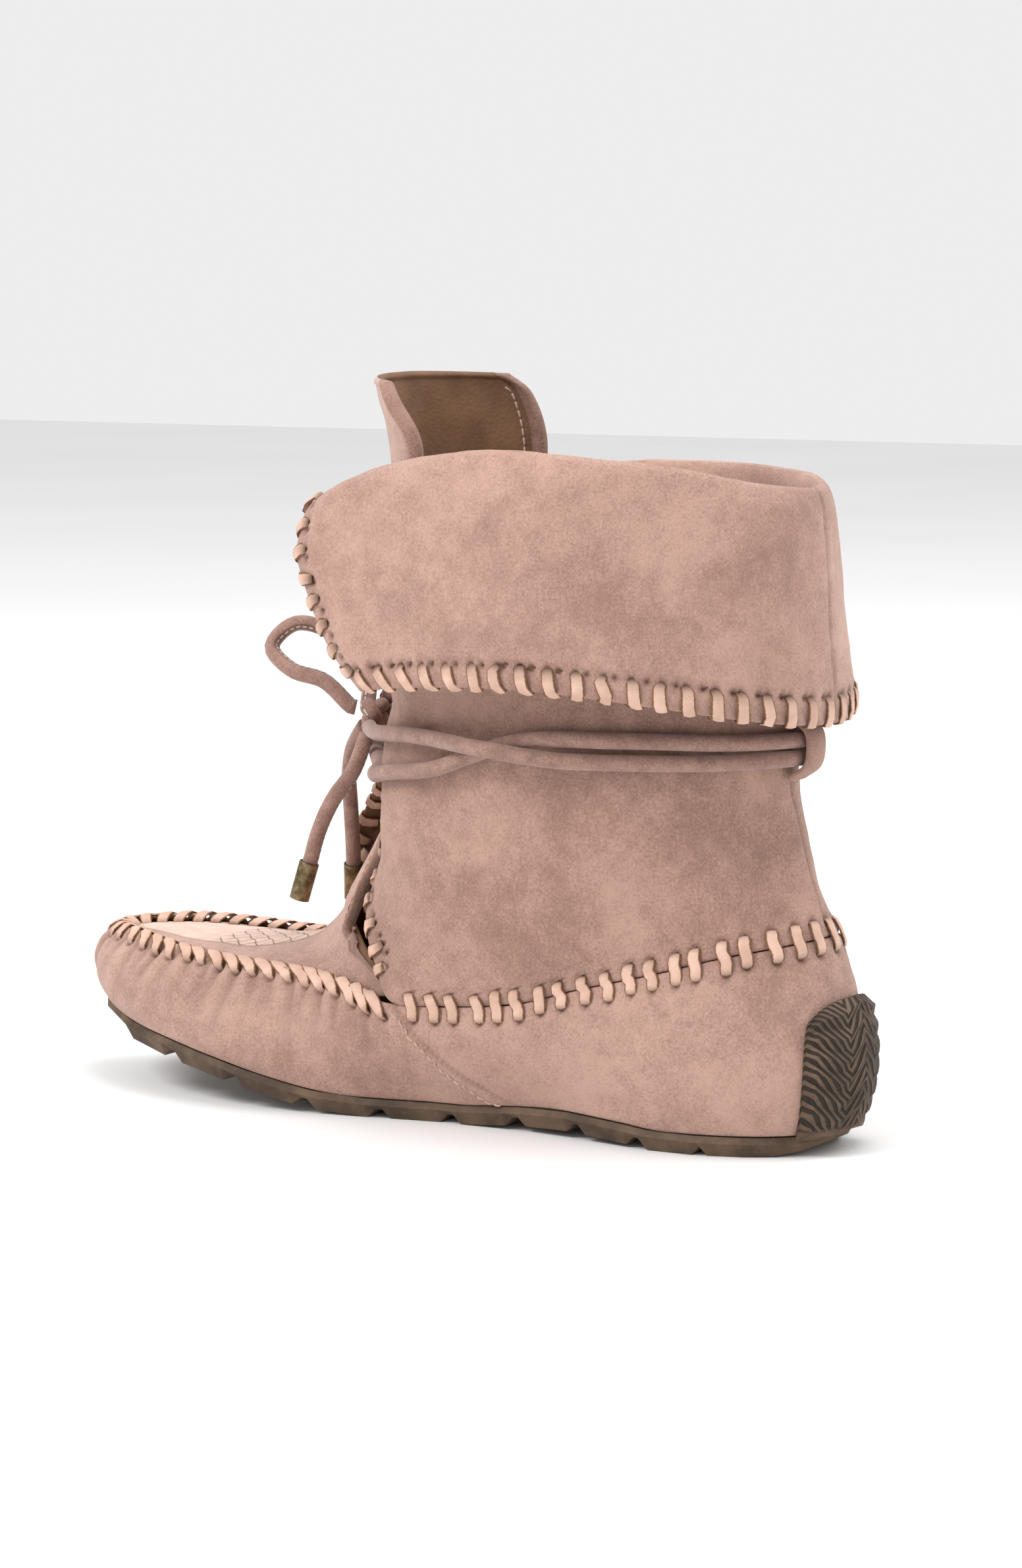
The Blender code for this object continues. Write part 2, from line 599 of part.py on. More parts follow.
def shaft_ring(height):
    # the inner leaf of the shaft at one height, with level normals that point out
    grid, shares = shaft_rows()
    fold = int(np.argmax(grid[:, SEAM_COLUMNS // 2, 2]))
    leaf = grid[:fold]
    points = np.array([[np.interp(height, leaf[:, k, 2], leaf[:, k, axis]) for axis in range(3)]
                       for k in range(leaf.shape[1])])
    run = np.gradient(points, axis=0)
    normals = np.stack([-run[:, 1], run[:, 0], np.zeros(len(run))], axis=1)
    normals /= np.linalg.norm(normals, axis=1, keepdims=True)
    if normals[len(normals) // 2][0] < 0:
        normals = -normals
    return points, normals, shares


def on_shaft(place, height, offset):
    # place 0 is the near front edge, 0.5 the middle of the back, 1 the far front edge
    points, normals, shares = shaft_ring(height)
    back = shares[FLAP_COLUMNS[0] + SEAM_COLUMNS // 2]
    share = np.interp(place, (0.0, 0.5, 1.0), (0.0, back, 1.0))
    point = np.array([np.interp(share, shares, column) for column in points.T])
    normal = np.array([np.interp(share, shares, column) for column in normals.T])
    point[2] = height
    return point + normal / np.linalg.norm(normal) * offset


def behind_shaft(y, height, offset):
    points = shaft_ring(height)[0]
    back = points[points[:, 0] > 0.6 * points[:, 0].max()]
    return [np.interp(y, back[:, 1], back[:, 0]) + offset, y, height]


def turn_points(turn, steps):
    points = []
    for share in np.linspace(turn["share"][0], turn["share"][-1], steps):
        rise = float(smooth(turn["share"], turn["rise"], share))
        lift = float(smooth(turn["share"], turn["lift"], share))
        offset = SHAFT_WALL / 2 + TIE_CLEARANCE + TIE_DIAMETER * (0.5 + lift)
        points.append(on_shaft(share, TIE_HEIGHT + rise * TIE_DIAMETER, offset))
    return points


def route(points, spacing):
    # points at even distances on a smooth curve through the route's own points
    points = np.array(points)
    ends = [2 * points[0] - points[1]], [2 * points[-1] - points[-2]]
    padded = np.concatenate([ends[0], points, ends[1]])
    fine = []
    for k in range(len(points) - 1):
        a, b, c, d = padded[k:k + 4]
        for t in np.linspace(0, 1, 12, endpoint=False):
            fine.append(0.5 * (2 * b + (c - a) * t + (2 * a - 5 * b + 4 * c - d) * t * t
                               + (3 * b - a - 3 * c + d) * t ** 3))
    fine.append(points[-1])
    fine = np.array(fine)
    length = np.linalg.norm(np.diff(fine, axis=0), axis=1).sum()
    return resample(fine, np.linspace(0, 1, max(3, round(length / spacing) + 1)))


def cord(name, points, diameter, color, roughness, metallic=0.0, resolution=2):
    curve = bpy.data.curves.new(name, "CURVE")
    curve.dimensions = "3D"
    curve.bevel_depth = diameter / 2
    curve.bevel_resolution = resolution
    curve.use_fill_caps = True
    spline = curve.splines.new("POLY")
    spline.points.add(len(points) - 1)
    for target, point in zip(spline.points, points):
        target.co = (*point, 1.0)
    piece = bpy.data.objects.new(name, curve)
    bpy.context.collection.objects.link(piece)
    finish(piece, color, roughness, metallic)
    return piece


SUEDE_CORD = (0.36, 0.21, 0.17)
BRASS = (0.30, 0.22, 0.11)


def knot_exit(x, y, z):
    # two points in line, off the knot's surface in the given direction from its middle
    radii = np.array([KNOT_WIDTH, KNOT_WIDTH, KNOT_HEIGHT]) / 2
    way = np.array([x, y, z], float)
    way /= np.linalg.norm(way / radii)
    start = KNOT + way * (1 + 4 * CLEARANCE / KNOT_WIDTH)
    return [start, start + way / np.linalg.norm(way) * 0.4 * TIE_DIAMETER]


def build_tie_wrap():
    offset = SHAFT_WALL / 2 + TIE_CLEARANCE + TIE_DIAMETER / 2
    first = turn_points(TIE_FIRST, TIE_STEPS)
    second = turn_points(TIE_SECOND, TIE_STEPS)
    low = TIE_HEIGHT - 1.9 * TIE_DIAMETER
    far_edge = on_shaft(1.0, low, 0.0)
    near_edge = on_shaft(0.0, low - 0.5 * TIE_DIAMETER, 0.0)
    crossing = [far_edge + (-1.1 * offset, -0.35 * offset, 0.0),
                near_edge + (-1.5 * offset, 0.2 * offset, 0.0)]
    start = knot_exit(0.35, -0.94, -0.45)
    end = knot_exit(-0.2, 1.0, 0.0)[::-1]
    points = np.array(start + first + crossing + second + end)
    return cord("tie_wrap", points, TIE_DIAMETER, SUEDE_CORD, 0.85)


def build_back_loop():
    # a strap sewn flat to the shaft above and below the tie, and proud of it between
    heights = TIE_HEIGHT + TIE_DIAMETER * np.array([-1.70, -1.30, -0.90, 0.25, 1.40, 1.85, 2.40, 3.0])
    seat = SHAFT_WALL / 2 + CLEARANCE + LOOP_WALL / 2
    proud = SHAFT_WALL / 2 + TIE_CLEARANCE + TIE_DIAMETER + CLEARANCE + LOOP_WALL / 2 + 0.0006
    offsets = [seat, (seat + proud) * 0.42, proud, proud + 0.0006, proud, (seat + proud) * 0.42, seat, seat]
    grid = np.array([[behind_shaft(side * LOOP_WIDTH / 2, height, offset) for side in np.linspace(-1, 1, 5)]
                     for height, offset in zip(heights, offsets)])
    half = LOOP_WALL / 2
    vertices, faces = sheet_mesh(grid, half, half)
    return mesh_object("back_loop", vertices, faces, (0.36, 0.21, 0.17), 0.9)


def build_knot():
    bpy.ops.mesh.primitive_ico_sphere_add(subdivisions=3, radius=0.5)
    piece = bpy.context.active_object
    piece.name = "tie_knot"
    for vertex in piece.data.vertices:
        way = vertex.co.normalized()
        lump = 1 - 0.07 * (0.5 + 0.5 * math.cos(3 * math.atan2(way.y, way.x) + 4 * way.z))
        wide = KNOT_WIDTH / 2 * lump
        vertex.co = (way.x * wide, way.y * wide, way.z * KNOT_HEIGHT / 2 * lump)
        vertex.co += type(vertex.co)(KNOT)
    piece.data.shade_smooth()
    finish(piece, SUEDE_CORD, 0.85)
    return piece


# Routes of the bow and the ends, chosen by eye, from the knot outwards.
LOOP_NEAR = [(-0.0440, -0.0075, 0.1180), (-0.0530, -0.0100, 0.1205), (-0.0600, -0.0100, 0.1240),
             (-0.0632, -0.0090, 0.1285), (-0.0615, -0.0070, 0.1325), (-0.0565, -0.0040, 0.1345),
             (-0.0500, 0.0000, 0.1325), (-0.0425, 0.0020, 0.1265)]
LOOP_FAR = [(-0.0430, 0.0110, 0.1170), (-0.0510, 0.0190, 0.1235), (-0.0545, 0.0265, 0.1315),
            (-0.0510, 0.0320, 0.1380), (-0.0445, 0.0310, 0.1360), (-0.0400, 0.0230, 0.1290)]
END_NEAR = [(-0.0345, -0.0052, 0.0972), (-0.0410, -0.0062, 0.0893), (-0.0452, -0.0068, 0.0822),
            (-0.0484, -0.0072, 0.0756), (-0.0512, -0.0080, 0.0660)]
END_FAR = [(-0.0435, 0.0040, 0.1000), (-0.0485, 0.0085, 0.0920), (-0.0515, 0.0135, 0.0825),
           (-0.0535, 0.0175, 0.0715), (-0.0550, 0.0200, 0.0620)]


def build_bow():
    spacing = 2.4 * TIE_DIAMETER
    shapes = (("tie_loop_near", LOOP_NEAR, (-0.78, -0.50, 0.30), (-0.2, 0.1, 0.97)),
              ("tie_loop_far", LOOP_FAR, (-0.75, 0.6, 0.15), (0.1, 0.80, 0.65)))
    for name, points, leave, back in shapes:
        start, end = knot_exit(*leave), knot_exit(*back)
        path = route([start[1], *points, end[1]], spacing)
        cord(name, np.array([start[0], *path, end[0]]), TIE_DIAMETER, SUEDE_CORD, 0.85)
    for name, points, leave in (("near", END_NEAR, (-0.15, -0.5, -1.0)), ("far", END_FAR, (-0.8, 0.3, -0.7))):
        start = knot_exit(*leave)
        path = route([start[1], *points], spacing)
        cord("tie_end_" + name, np.array([start[0], *path]), TIE_DIAMETER, SUEDE_CORD, 0.85)
        way = path[-1] - path[-2]
        way /= np.linalg.norm(way)
        tip = path[-1] + way * CLEARANCE
        cord("aglet_" + name, np.array([tip, tip + way * AGLET_LENGTH]), AGLET_DIAMETER, BRASS, 0.4, 1.0, 4)


def main():
    for piece in list(bpy.data.objects):
        bpy.data.objects.remove(piece, do_unlink=True)
    build_outsole()
    build_insole()
    build_upper()
    build_apron_tongue()
    build_shaft()
    build_back_loop()
    build_tie_wrap()
    build_knot()
    build_bow()


main()
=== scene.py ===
import math

import bmesh
import bpy
import numpy as np
from mathutils import Matrix, Vector


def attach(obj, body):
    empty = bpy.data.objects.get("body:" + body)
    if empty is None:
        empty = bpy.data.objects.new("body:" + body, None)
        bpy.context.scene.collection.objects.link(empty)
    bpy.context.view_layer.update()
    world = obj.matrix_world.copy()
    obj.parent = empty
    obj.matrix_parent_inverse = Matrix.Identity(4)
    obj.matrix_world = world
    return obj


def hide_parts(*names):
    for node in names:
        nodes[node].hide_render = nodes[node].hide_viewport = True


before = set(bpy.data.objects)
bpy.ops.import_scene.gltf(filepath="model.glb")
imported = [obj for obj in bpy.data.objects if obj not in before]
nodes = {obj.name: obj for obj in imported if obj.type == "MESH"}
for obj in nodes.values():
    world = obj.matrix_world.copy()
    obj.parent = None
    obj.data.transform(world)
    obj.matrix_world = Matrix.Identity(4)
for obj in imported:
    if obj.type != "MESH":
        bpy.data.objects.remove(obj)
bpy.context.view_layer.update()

bpy.ops.object.select_all(action="DESELECT")
scene = bpy.context.scene

# Camera: seen from the inner side, a little from behind and above
camera = {"azimuth": 32.0, "distance": 1.150, "height": 0.2362, "target": (0.012, 0.0, 0.0922),
          "focalPixels": 6244.5, "framePixels": 2380.0}


def addCamera():
    data = bpy.data.cameras.new("studioCamera")
    data.sensor_fit = "VERTICAL"
    data.sensor_height = 36.0
    data.lens = camera["focalPixels"] / camera["framePixels"] * 36.0
    data.clip_end = 20.0
    eye = bpy.data.objects.new("studioCamera", data)
    scene.collection.objects.link(eye)
    target = Vector(camera["target"])
    rise = math.asin((camera["height"] - target.z) / camera["distance"])
    turn = math.radians(camera["azimuth"])
    away = Vector((math.sin(turn) * math.cos(rise), -math.cos(turn) * math.cos(rise), math.sin(rise)))
    eye.location = target + away * camera["distance"]
    eye.rotation_euler = (-away).to_track_quat("-Z", "Y").to_euler()
    scene.camera = eye


addCamera()
print("camera is in place")


# shader maths
class Wire:
    def __init__(self, tree, socket):
        self.tree = tree
        self.socket = socket

    def math(self, operation, *values):
        return self.tree.add("ShaderNodeMath", {"operation": operation}, dict(enumerate(values)))

    def __add__(self, other):
        return self.math("ADD", self, other)

    def __sub__(self, other):
        return self.math("SUBTRACT", self, other)

    def __rsub__(self, other):
        return self.math("SUBTRACT", other, self)

    def __mul__(self, other):
        return self.math("MULTIPLY", self, other)

    def __truediv__(self, other):
        return self.math("DIVIDE", self, other)

    def __mod__(self, other):
        return self.math("FLOORED_MODULO", self, other)

    def __abs__(self):
        return self.math("ABSOLUTE", self)

    __radd__ = __add__
    __rmul__ = __mul__

    def clamp(self, low=0.0, high=1.0):
        return self.math("MINIMUM", self.math("MAXIMUM", self, low), high)

    def between(self, low, high):
        # 0 below low, 1 above high, smooth in between
        return self.tree.add("ShaderNodeMapRange", {"interpolation_type": "SMOOTHSTEP"},
                             {"Value": self, "From Min": low, "From Max": high})


class Finish:
    # one material and the nodes in it
    def __init__(self, name, **fixed):
        self.material = bpy.data.materials.new(name)
        self.material.use_nodes = True
        self.nodes = self.material.node_tree.nodes
        self.links = self.material.node_tree.links
        self.shader = self.nodes["Principled BSDF"]
        for socket, value in fixed.items():
            self.shader.inputs[socket.replace("_", " ")].default_value = value

    def add(self, kind, settings=None, inputs=None, output=0):
        made = self.nodes.new(kind)
        for key, value in (settings or {}).items():
            if key == "stops":
                ramp = made.color_ramp
                while len(ramp.elements) < len(value):
                    ramp.elements.new(0.5)
                for element, (place, color) in zip(ramp.elements, value):
                    element.position = place
                    element.color = (*color, 1.0)
            else:
                setattr(made, key, value)
        for key, value in (inputs or {}).items():
            self.put(made.inputs[key], value)
        return Wire(self, made.outputs[output])

    def put(self, socket, value):
        if isinstance(value, Wire):
            self.links.new(value.socket, socket)
        elif isinstance(value, tuple) and len(value) == 3 and socket.type == "RGBA":
            socket.default_value = (*value, 1.0)
        else:
            socket.default_value = value

    def paint(self, **inputs):
        for socket, value in inputs.items():
            self.put(self.shader.inputs[socket.replace("_", " ")], value)

    def place(self):
        return self.add("ShaderNodeTexCoord", output="Object")

    def uv(self):
        flat = self.add("ShaderNodeSeparateXYZ", inputs={0: self.add("ShaderNodeUVMap", {"uv_map": "UVMap"})})
        return flat, Wire(self, flat.socket.node.outputs[1])

    def noise(self, scale, detail=3.0, rough=0.5, vector=None):
        return self.add("ShaderNodeTexNoise", {}, {"Vector": vector or self.place(), "Scale": scale,
                                                   "Detail": detail, "Roughness": rough})

    def shade(self):
        return self.add("ShaderNodeAttribute", {"attribute_name": "shade"}, output="Fac")

    def mix(self, factor, first, second, blend="MIX"):
        mixer = self.nodes.new("ShaderNodeMix")
        mixer.data_type = "RGBA"
        mixer.blend_type = blend
        for socket, value in ((mixer.inputs[0], factor), (mixer.inputs[6], first), (mixer.inputs[7], second)):
            self.put(socket, value)
        return Wire(self, mixer.outputs[2])

    def bump(self, height, distance, strength=1.0, under=None):
        inputs = {"Height": height, "Distance": distance, "Strength": strength}
        if under:
            inputs["Normal"] = under
        return self.add("ShaderNodeBump", {}, inputs)


suedeLook = {"nap": 1500.0, "mottle": 190.0, "brush": 26.0, "grain": 0.00032, "lumps": 0.0005}


def suedeFinish(name, light, dark, crease=0.42):
    look = Finish(name, Roughness=0.93, Sheen_Weight=0.35, Sheen_Roughness=0.45)
    look.shader.inputs["Specular IOR Level"].default_value = 0.16
    look.shader.inputs["Sheen Tint"].default_value = (1.0, 0.86, 0.78, 1.0)
    nap = look.noise(suedeLook["nap"], 4.0, 0.65)
    mottle = look.noise(suedeLook["mottle"], 6.0, 0.62)
    brush = look.noise(suedeLook["brush"], 3.0, 0.5)
    tone = (nap * 0.75 + mottle * 0.45 + brush * 0.8 - 0.45).between(0.30, 0.78)
    color = look.mix(tone, dark, light)
    deep = tuple(channel * crease * tint for channel, tint in zip(dark, (1.0, 0.82, 0.74)))
    color = look.mix(look.shade(), deep, color)
    fuzz = look.bump(nap, suedeLook["grain"])
    look.paint(Base_Color=color, Normal=look.bump(mottle, suedeLook["lumps"], 0.55, fuzz))
    return look.material


def liningFinish(name, light, dark):
    look = Finish(name, Roughness=0.62)
    look.shader.inputs["Specular IOR Level"].default_value = 0.3
    pores = look.add("ShaderNodeTexVoronoi", {"feature": "F1"}, {"Vector": look.place(), "Scale": 900.0})
    wear = look.noise(60.0, 5.0, 0.6)
    color = look.mix(wear.between(0.3, 0.7), dark, light)
    color = look.mix(look.shade(), tuple(0.4 * channel for channel in dark), color)
    look.paint(Base_Color=color, Roughness=wear * 0.25 + 0.5, Normal=look.bump(pores, 0.00015, 0.6))
    return look.material


def laceFinish(name, light, dark, raw):
    # smooth strips with raw brown edges; u runs across a strip
    look = Finish(name, Roughness=0.6)
    look.shader.inputs["Specular IOR Level"].default_value = 0.3
    across, along = look.uv()
    pores = look.noise(1500.0, 3.0, 0.6)
    tone = look.noise(140.0, 4.0, 0.55)
    edge = (abs(across - 0.5) + (pores - 0.5) * 0.14).between(0.40, 0.47)
    color = look.mix(tone.between(0.3, 0.7), dark, light)
    color = look.mix(edge, color, raw)
    color = look.mix(look.shade(), tuple(0.45 * channel for channel in raw), color)
    look.paint(Base_Color=color, Roughness=edge * 0.3 + 0.55, Normal=look.bump(pores, 0.00012, 0.6))
    return look.material


def cordFinish(name, light, dark, thread):
    # suede cord with one line of stitches; u runs round the cord, v in metres along it
    look = Finish(name, Roughness=0.92, Sheen_Weight=0.3)
    look.shader.inputs["Specular IOR Level"].default_value = 0.16
    around, along = look.uv()
    nap = look.noise(1700.0, 4.0, 0.65)
    mottle = look.noise(220.0, 5.0, 0.6)
    step = (along / 0.0021) % 1.0
    line = 1.0 - abs(around - 0.30).between(0.012, 0.030)
    groove = 1.0 - abs(around - 0.30).between(0.02, 0.07)
    stitch = line * (1.0 - abs(step - 0.5).between(0.30, 0.38))
    color = look.mix((nap * 0.7 + mottle * 0.6 - 0.15).between(0.3, 0.75), dark, light)
    # painted shade: the groove along the stitch line is darkened
    color = look.mix(groove * 0.45, color, tuple(0.45 * channel for channel in dark))
    color = look.mix(stitch, color, thread)
    color = look.mix(look.shade(), tuple(0.4 * channel for channel in dark), color)
    height = nap * 0.35 + stitch * 0.9 - groove * 0.9
    look.paint(Base_Color=color, Normal=look.bump(height, 0.0005, 0.8))
    return look.material


def brassFinish(name):
    look = Finish(name, Metallic=1.0)
    wear = look.noise(420.0, 5.0, 0.65)
    large = look.noise(90.0, 3.0, 0.5)
    color = look.mix((wear * 0.6 + large * 0.4).between(0.35, 0.65), (0.105, 0.072, 0.036), (0.36, 0.27, 0.15))
    look.paint(Base_Color=color, Roughness=wear * 0.35 + 0.25, Normal=look.bump(wear, 0.0001, 0.5))
    return look.material


def rubberFinish(name, light, dark):
    # moulded rubber: a zigzag of ribs up the heel, fine waves under the foot
    look = Finish(name, Roughness=0.72)
    look.shader.inputs["Specular IOR Level"].default_value = 0.32
    place = look.place()
    parts = look.add("ShaderNodeSeparateXYZ", inputs={0: place})
    x = parts
    y = Wire(look, parts.socket.node.outputs[1])
    z = Wire(look, parts.socket.node.outputs[2])
    grime = look.noise(75.0, 5.0, 0.6)
    grain = look.noise(1300.0, 3.0, 0.6)
    fold = abs((abs(y) / 0.0134) - 0.5) * 0.0134
    ribs = abs(((z - fold * 1.15) / 0.0026) % 1.0 - 0.5) * 2.0
    onTab = x.between(0.104, 0.110) * z.between(0.0065, 0.0085)
    ridge = ribs.between(0.25, 0.60)
    height = onTab * ridge
    color = look.mix(grime.between(0.3, 0.7), dark, light)
    # painted shade: the hollows between the heel tab's ribs are darkened
    color = look.mix(onTab * (1.0 - ridge), color, tuple(0.38 * channel for channel in dark))
    look.paint(Base_Color=color, Roughness=grime * 0.2 + 0.6,
               Normal=look.bump(height, 0.0011, 0.9, look.bump(grain, 0.00016, 0.7)))
    return look.material


suedeLower = suedeFinish("suedeLower", (0.50, 0.315, 0.255), (0.29, 0.170, 0.133))
# the shaft below the cuff gets a darker copy of the same suede: painted shade
shadedShaftSuede = suedeFinish("shadedShaftSuede", (0.46, 0.285, 0.228), (0.26, 0.150, 0.117))
suedeCuff = suedeFinish("suedeCuff", (0.50, 0.312, 0.252), (0.30, 0.176, 0.138))
suedeEdge = suedeFinish("suedeEdge", (0.36, 0.212, 0.167), (0.20, 0.112, 0.086))
lining = liningFinish("liningLeather", (0.215, 0.112, 0.058), (0.135, 0.066, 0.033))
laceLeather = laceFinish("laceLeather", (0.66, 0.44, 0.345), (0.53, 0.335, 0.255), (0.185, 0.082, 0.032))
cordSuede = cordFinish("cordSuede", (0.385, 0.232, 0.187), (0.215, 0.122, 0.096), (0.60, 0.47, 0.40))
brass = brassFinish("antiqueBrass")
rubber = rubberFinish("soleRubber", (0.150, 0.096, 0.060), (0.055, 0.034, 0.022))
print("finishes are mixed")


# shared shapes
def table(names, *rows):
    return dict(zip(names.split(), np.array(rows, float).T))


def smoothRow(xs, ys, x):
    # a cubic through a table's rows that never overshoots them
    x = np.asarray(x, float)
    rises = np.diff(ys) / np.diff(xs)
    product = rises[:-1] * rises[1:]
    total = np.where(product > 0, rises[:-1] + rises[1:], 1.0)
    slopes = np.concatenate([rises[:1], np.where(product > 0, 2 * product / total, 0.0), rises[-1:]])
    k = np.clip(np.searchsorted(xs, x) - 1, 0, len(xs) - 2)
    step = xs[k + 1] - xs[k]
    t = (x - xs[k]) / step
    start = ys[k] * (1 + 2 * t) * (1 - t) ** 2 + slopes[k] * step * t * (1 - t) ** 2
    return start + ys[k + 1] * t * t * (3 - 2 * t) + slopes[k + 1] * step * t * t * (t - 1)


def curveThrough(points, places, closed=False):
    # points on a smooth curve through the given ones; places count from 0, one per point
    points = np.asarray(points, float)
    count = len(points)
    places = np.asarray(places, float)
    k = np.floor(places).astype(int)
    if closed:
        rows = [points[(k + shift) % count] for shift in (-1, 0, 1, 2)]
    else:
        k = np.clip(k, 0, count - 2)
        padded = np.concatenate([[2 * points[0] - points[1]], points, [2 * points[-1] - points[-2]]])
        rows = [padded[k + 1 + shift] for shift in (-1, 0, 1, 2)]
    t = (places - k).reshape((-1,) + (1,) * (points.ndim - 1))
    a, b, c, d = rows
    return 0.5 * (2 * b + (c - a) * t + (2 * a - 5 * b + 4 * c - d) * t ** 2 + (3 * b - a - 3 * c + d) * t ** 3)


def lengthAlong(points):
    steps = np.linalg.norm(np.diff(points, axis=0), axis=-1)
    return np.concatenate([np.zeros((1,) + steps.shape[1:]), np.cumsum(steps, axis=0)])


def unit(vectors):
    return vectors / np.maximum(np.linalg.norm(vectors, axis=-1, keepdims=True), 1e-12)


def softNoise(points, scale, seed, waves=14):
    # smooth random height between about -1 and 1, one value per point
    chance = np.random.default_rng(seed)
    total = np.zeros(points.shape[:-1])
    for _ in range(waves):
        way = unit(chance.normal(size=3)) * (2 * math.pi / (scale * chance.uniform(0.6, 1.7)))
        total += np.sin(points @ way + chance.uniform(0, 2 * math.pi))
    return total / math.sqrt(waves) * 0.9


sole = {"length": 0.242, "width": 0.0895, "heelShare": 0.4835, "thickness": 0.0054, "spring": 0.0184}
wrap = {"wall": 0.0018, "inset": 0.0010, "ankle": 0.0575, "gap": 0.0003, "seamHeel": 0.4640,
        "seamLength": 0.968, "corner": 0.492}
last = table(
    "u footNear footFar seamNear seamFar seamZ lowBulge highBulge",
    (0.00, 0.570, 0.570, 0.540, 0.540, 1.000, 0.100, 0.061),
    (0.08, 0.510, 0.520, 0.500, 0.505, 0.930, 0.080, 0.050),
    (0.15, 0.462, 0.480, 0.450, 0.460, 0.845, 0.065, 0.040),
    (0.25, 0.380, 0.439, 0.414, 0.430, 0.740, 0.058, 0.035),
    (0.35, 0.322, 0.434, 0.408, 0.430, 0.630, 0.060, 0.038),
    (0.45, 0.320, 0.460, 0.420, 0.447, 0.600, 0.066, 0.042),
    (0.50, 0.346, 0.482, 0.425, 0.447, 0.598, 0.066, 0.046),
    (0.56, 0.390, 0.510, 0.388, 0.405, 0.650, 0.060, 0.060),
    (0.65, 0.469, 0.556, 0.355, 0.372, 0.683, 0.056, 0.074),
    (0.72, 0.523, 0.579, 0.360, 0.378, 0.690, 0.056, 0.084),
    (0.80, 0.565, 0.559, 0.370, 0.385, 0.702, 0.058, 0.090),
    (0.88, 0.592, 0.533, 0.380, 0.385, 0.728, 0.066, 0.092),
    (0.94, 0.588, 0.469, 0.380, 0.372, 0.745, 0.076, 0.096),
    (1.00, 0.536, 0.458, 0.370, 0.370, 0.735, 0.088, 0.102))
spring = table(
    "u rise",
    (0.00, 0.00), (0.16, 0.00), (0.22, 0.06), (0.30, 0.11), (0.38, 0.06), (0.44, 0.00),
    (0.56, 0.00), (0.60, 0.05), (0.66, 0.20), (0.73, 0.41), (0.82, 0.64), (0.90, 0.80), (1.00, 1.00))


def lastAt(column, u):
    return float(smoothRow(last["u"], last[column], u))


def aroundFoot(turn):
    # a turn of 0 to 1 runs from the heel along the near side, round the toe and back
    angle = 2 * math.pi * (turn % 1.0)
    return (1 - math.cos(angle)) / 2, abs(math.sin(angle)), -1 if angle < math.pi else 1


def footPoint(turn):
    u, bow, side = aroundFoot(turn)
    half = lastAt("footNear" if side < 0 else "footFar", u)
    return np.array([sole["length"] * (sole["heelShare"] - u), side * bow * sole["width"] * half, 0.0])


def seamPoint(turn):
    u, bow, side = aroundFoot(turn)
    half = lastAt("seamNear" if side < 0 else "seamFar", u)
    return np.array([sole["length"] * (wrap["seamHeel"] - wrap["seamLength"] * u),
                     side * bow * sole["width"] * half, wrap["ankle"] * lastAt("seamZ", u)])


def levelOut(turn, loop=footPoint):
    run = loop(turn + 0.002) - loop(turn - 0.002)
    return unit(np.array([-run[1], run[0], 0.0]))


def wrapPoint(turn, rise):
    u = aroundFoot(turn)[0]
    out = levelOut(turn)
    low = footPoint(turn) - out * (wrap["inset"] + wrap["wall"] / 2)
    low[2] = sole["spring"] * float(smoothRow(spring["u"], spring["rise"], u)) + sole["thickness"] + 1.4 * wrap["gap"]
    high = seamPoint(turn)
    up = np.array([0.0, 0.0, high[2] - low[2]])
    first = low + out * sole["width"] * lastAt("lowBulge", u) + 0.33 * up
    second = high + out * sole["width"] * lastAt("highBulge", u) - 0.30 * up
    t = rise
    return low * (1 - t) ** 3 + 3 * first * t * (1 - t) ** 2 + 3 * second * t * t * (1 - t) + high * t ** 3


class Leather:
    # a sheet as a dense grid of middle points, with its normals and the distance to its edges
    def __init__(self, grid, closed, outward):
        self.grid = grid
        self.closed = closed
        rows = np.gradient(grid, axis=0)
        if closed:
            columns = np.roll(grid, -1, axis=1) - np.roll(grid, 1, axis=1)
        else:
            columns = np.gradient(grid, axis=1)
        self.normals = unit(np.cross(columns, rows))
        row, column, way = outward
        if self.normals[row, column] @ np.array(way) < 0:
            self.normals = -self.normals
        down = lengthAlong(grid)
        self.fromFirst, self.fromLast = down, down[-1] - down
        if closed:
            self.fromLeft = self.fromRight = np.full(grid.shape[:2], 9.0)
        else:
            side = lengthAlong(grid.transpose(1, 0, 2)).T
            self.fromLeft, self.fromRight = side, side[:, -1:] - side

    def edge(self):
        return np.minimum(np.minimum(self.fromFirst, self.fromLast), np.minimum(self.fromLeft, self.fromRight))

    def nearest(self, point):
        # the closest grid point as (row, column)
        gaps = ((self.grid - point) ** 2).sum(axis=2)
        return np.unravel_index(int(gaps.argmin()), gaps.shape)

    def fromRow(self, column, distance, first):
        # a point and normal on one column, this far from the first or the last row
        away = self.fromFirst[:, column] if first else self.fromLast[:, column]
        row = int(np.abs(away - distance).argmin())
        return self.grid[row, column], self.normals[row, column]

    def fromColumn(self, row, distance, left):
        away = self.fromLeft[row] if left else self.fromRight[row]
        column = int(np.abs(away - distance).argmin())
        return self.grid[row, column], self.normals[row, column]


def withEdges(grid, closed, steps=(0.00012, 0.0005)):
    # extra rows and columns close to each free edge, so that the edge can be rounded
    def addTo(rows):
        def step(a, b, d):
            length = np.maximum(np.linalg.norm(b - a, axis=-1, keepdims=True), 1e-9)
            return a + (b - a) * np.minimum(d / length, 0.6)
        head = [rows[0]] + [step(rows[0], rows[1], d) for d in steps]
        tail = [step(rows[-1], rows[-2], d) for d in reversed(steps)] + [rows[-1]]
        return np.concatenate([head, rows[1:-1], tail])
    grid = addTo(grid)
    if not closed:
        grid = addTo(grid.transpose(1, 0, 2)).transpose(1, 0, 2)
    return grid


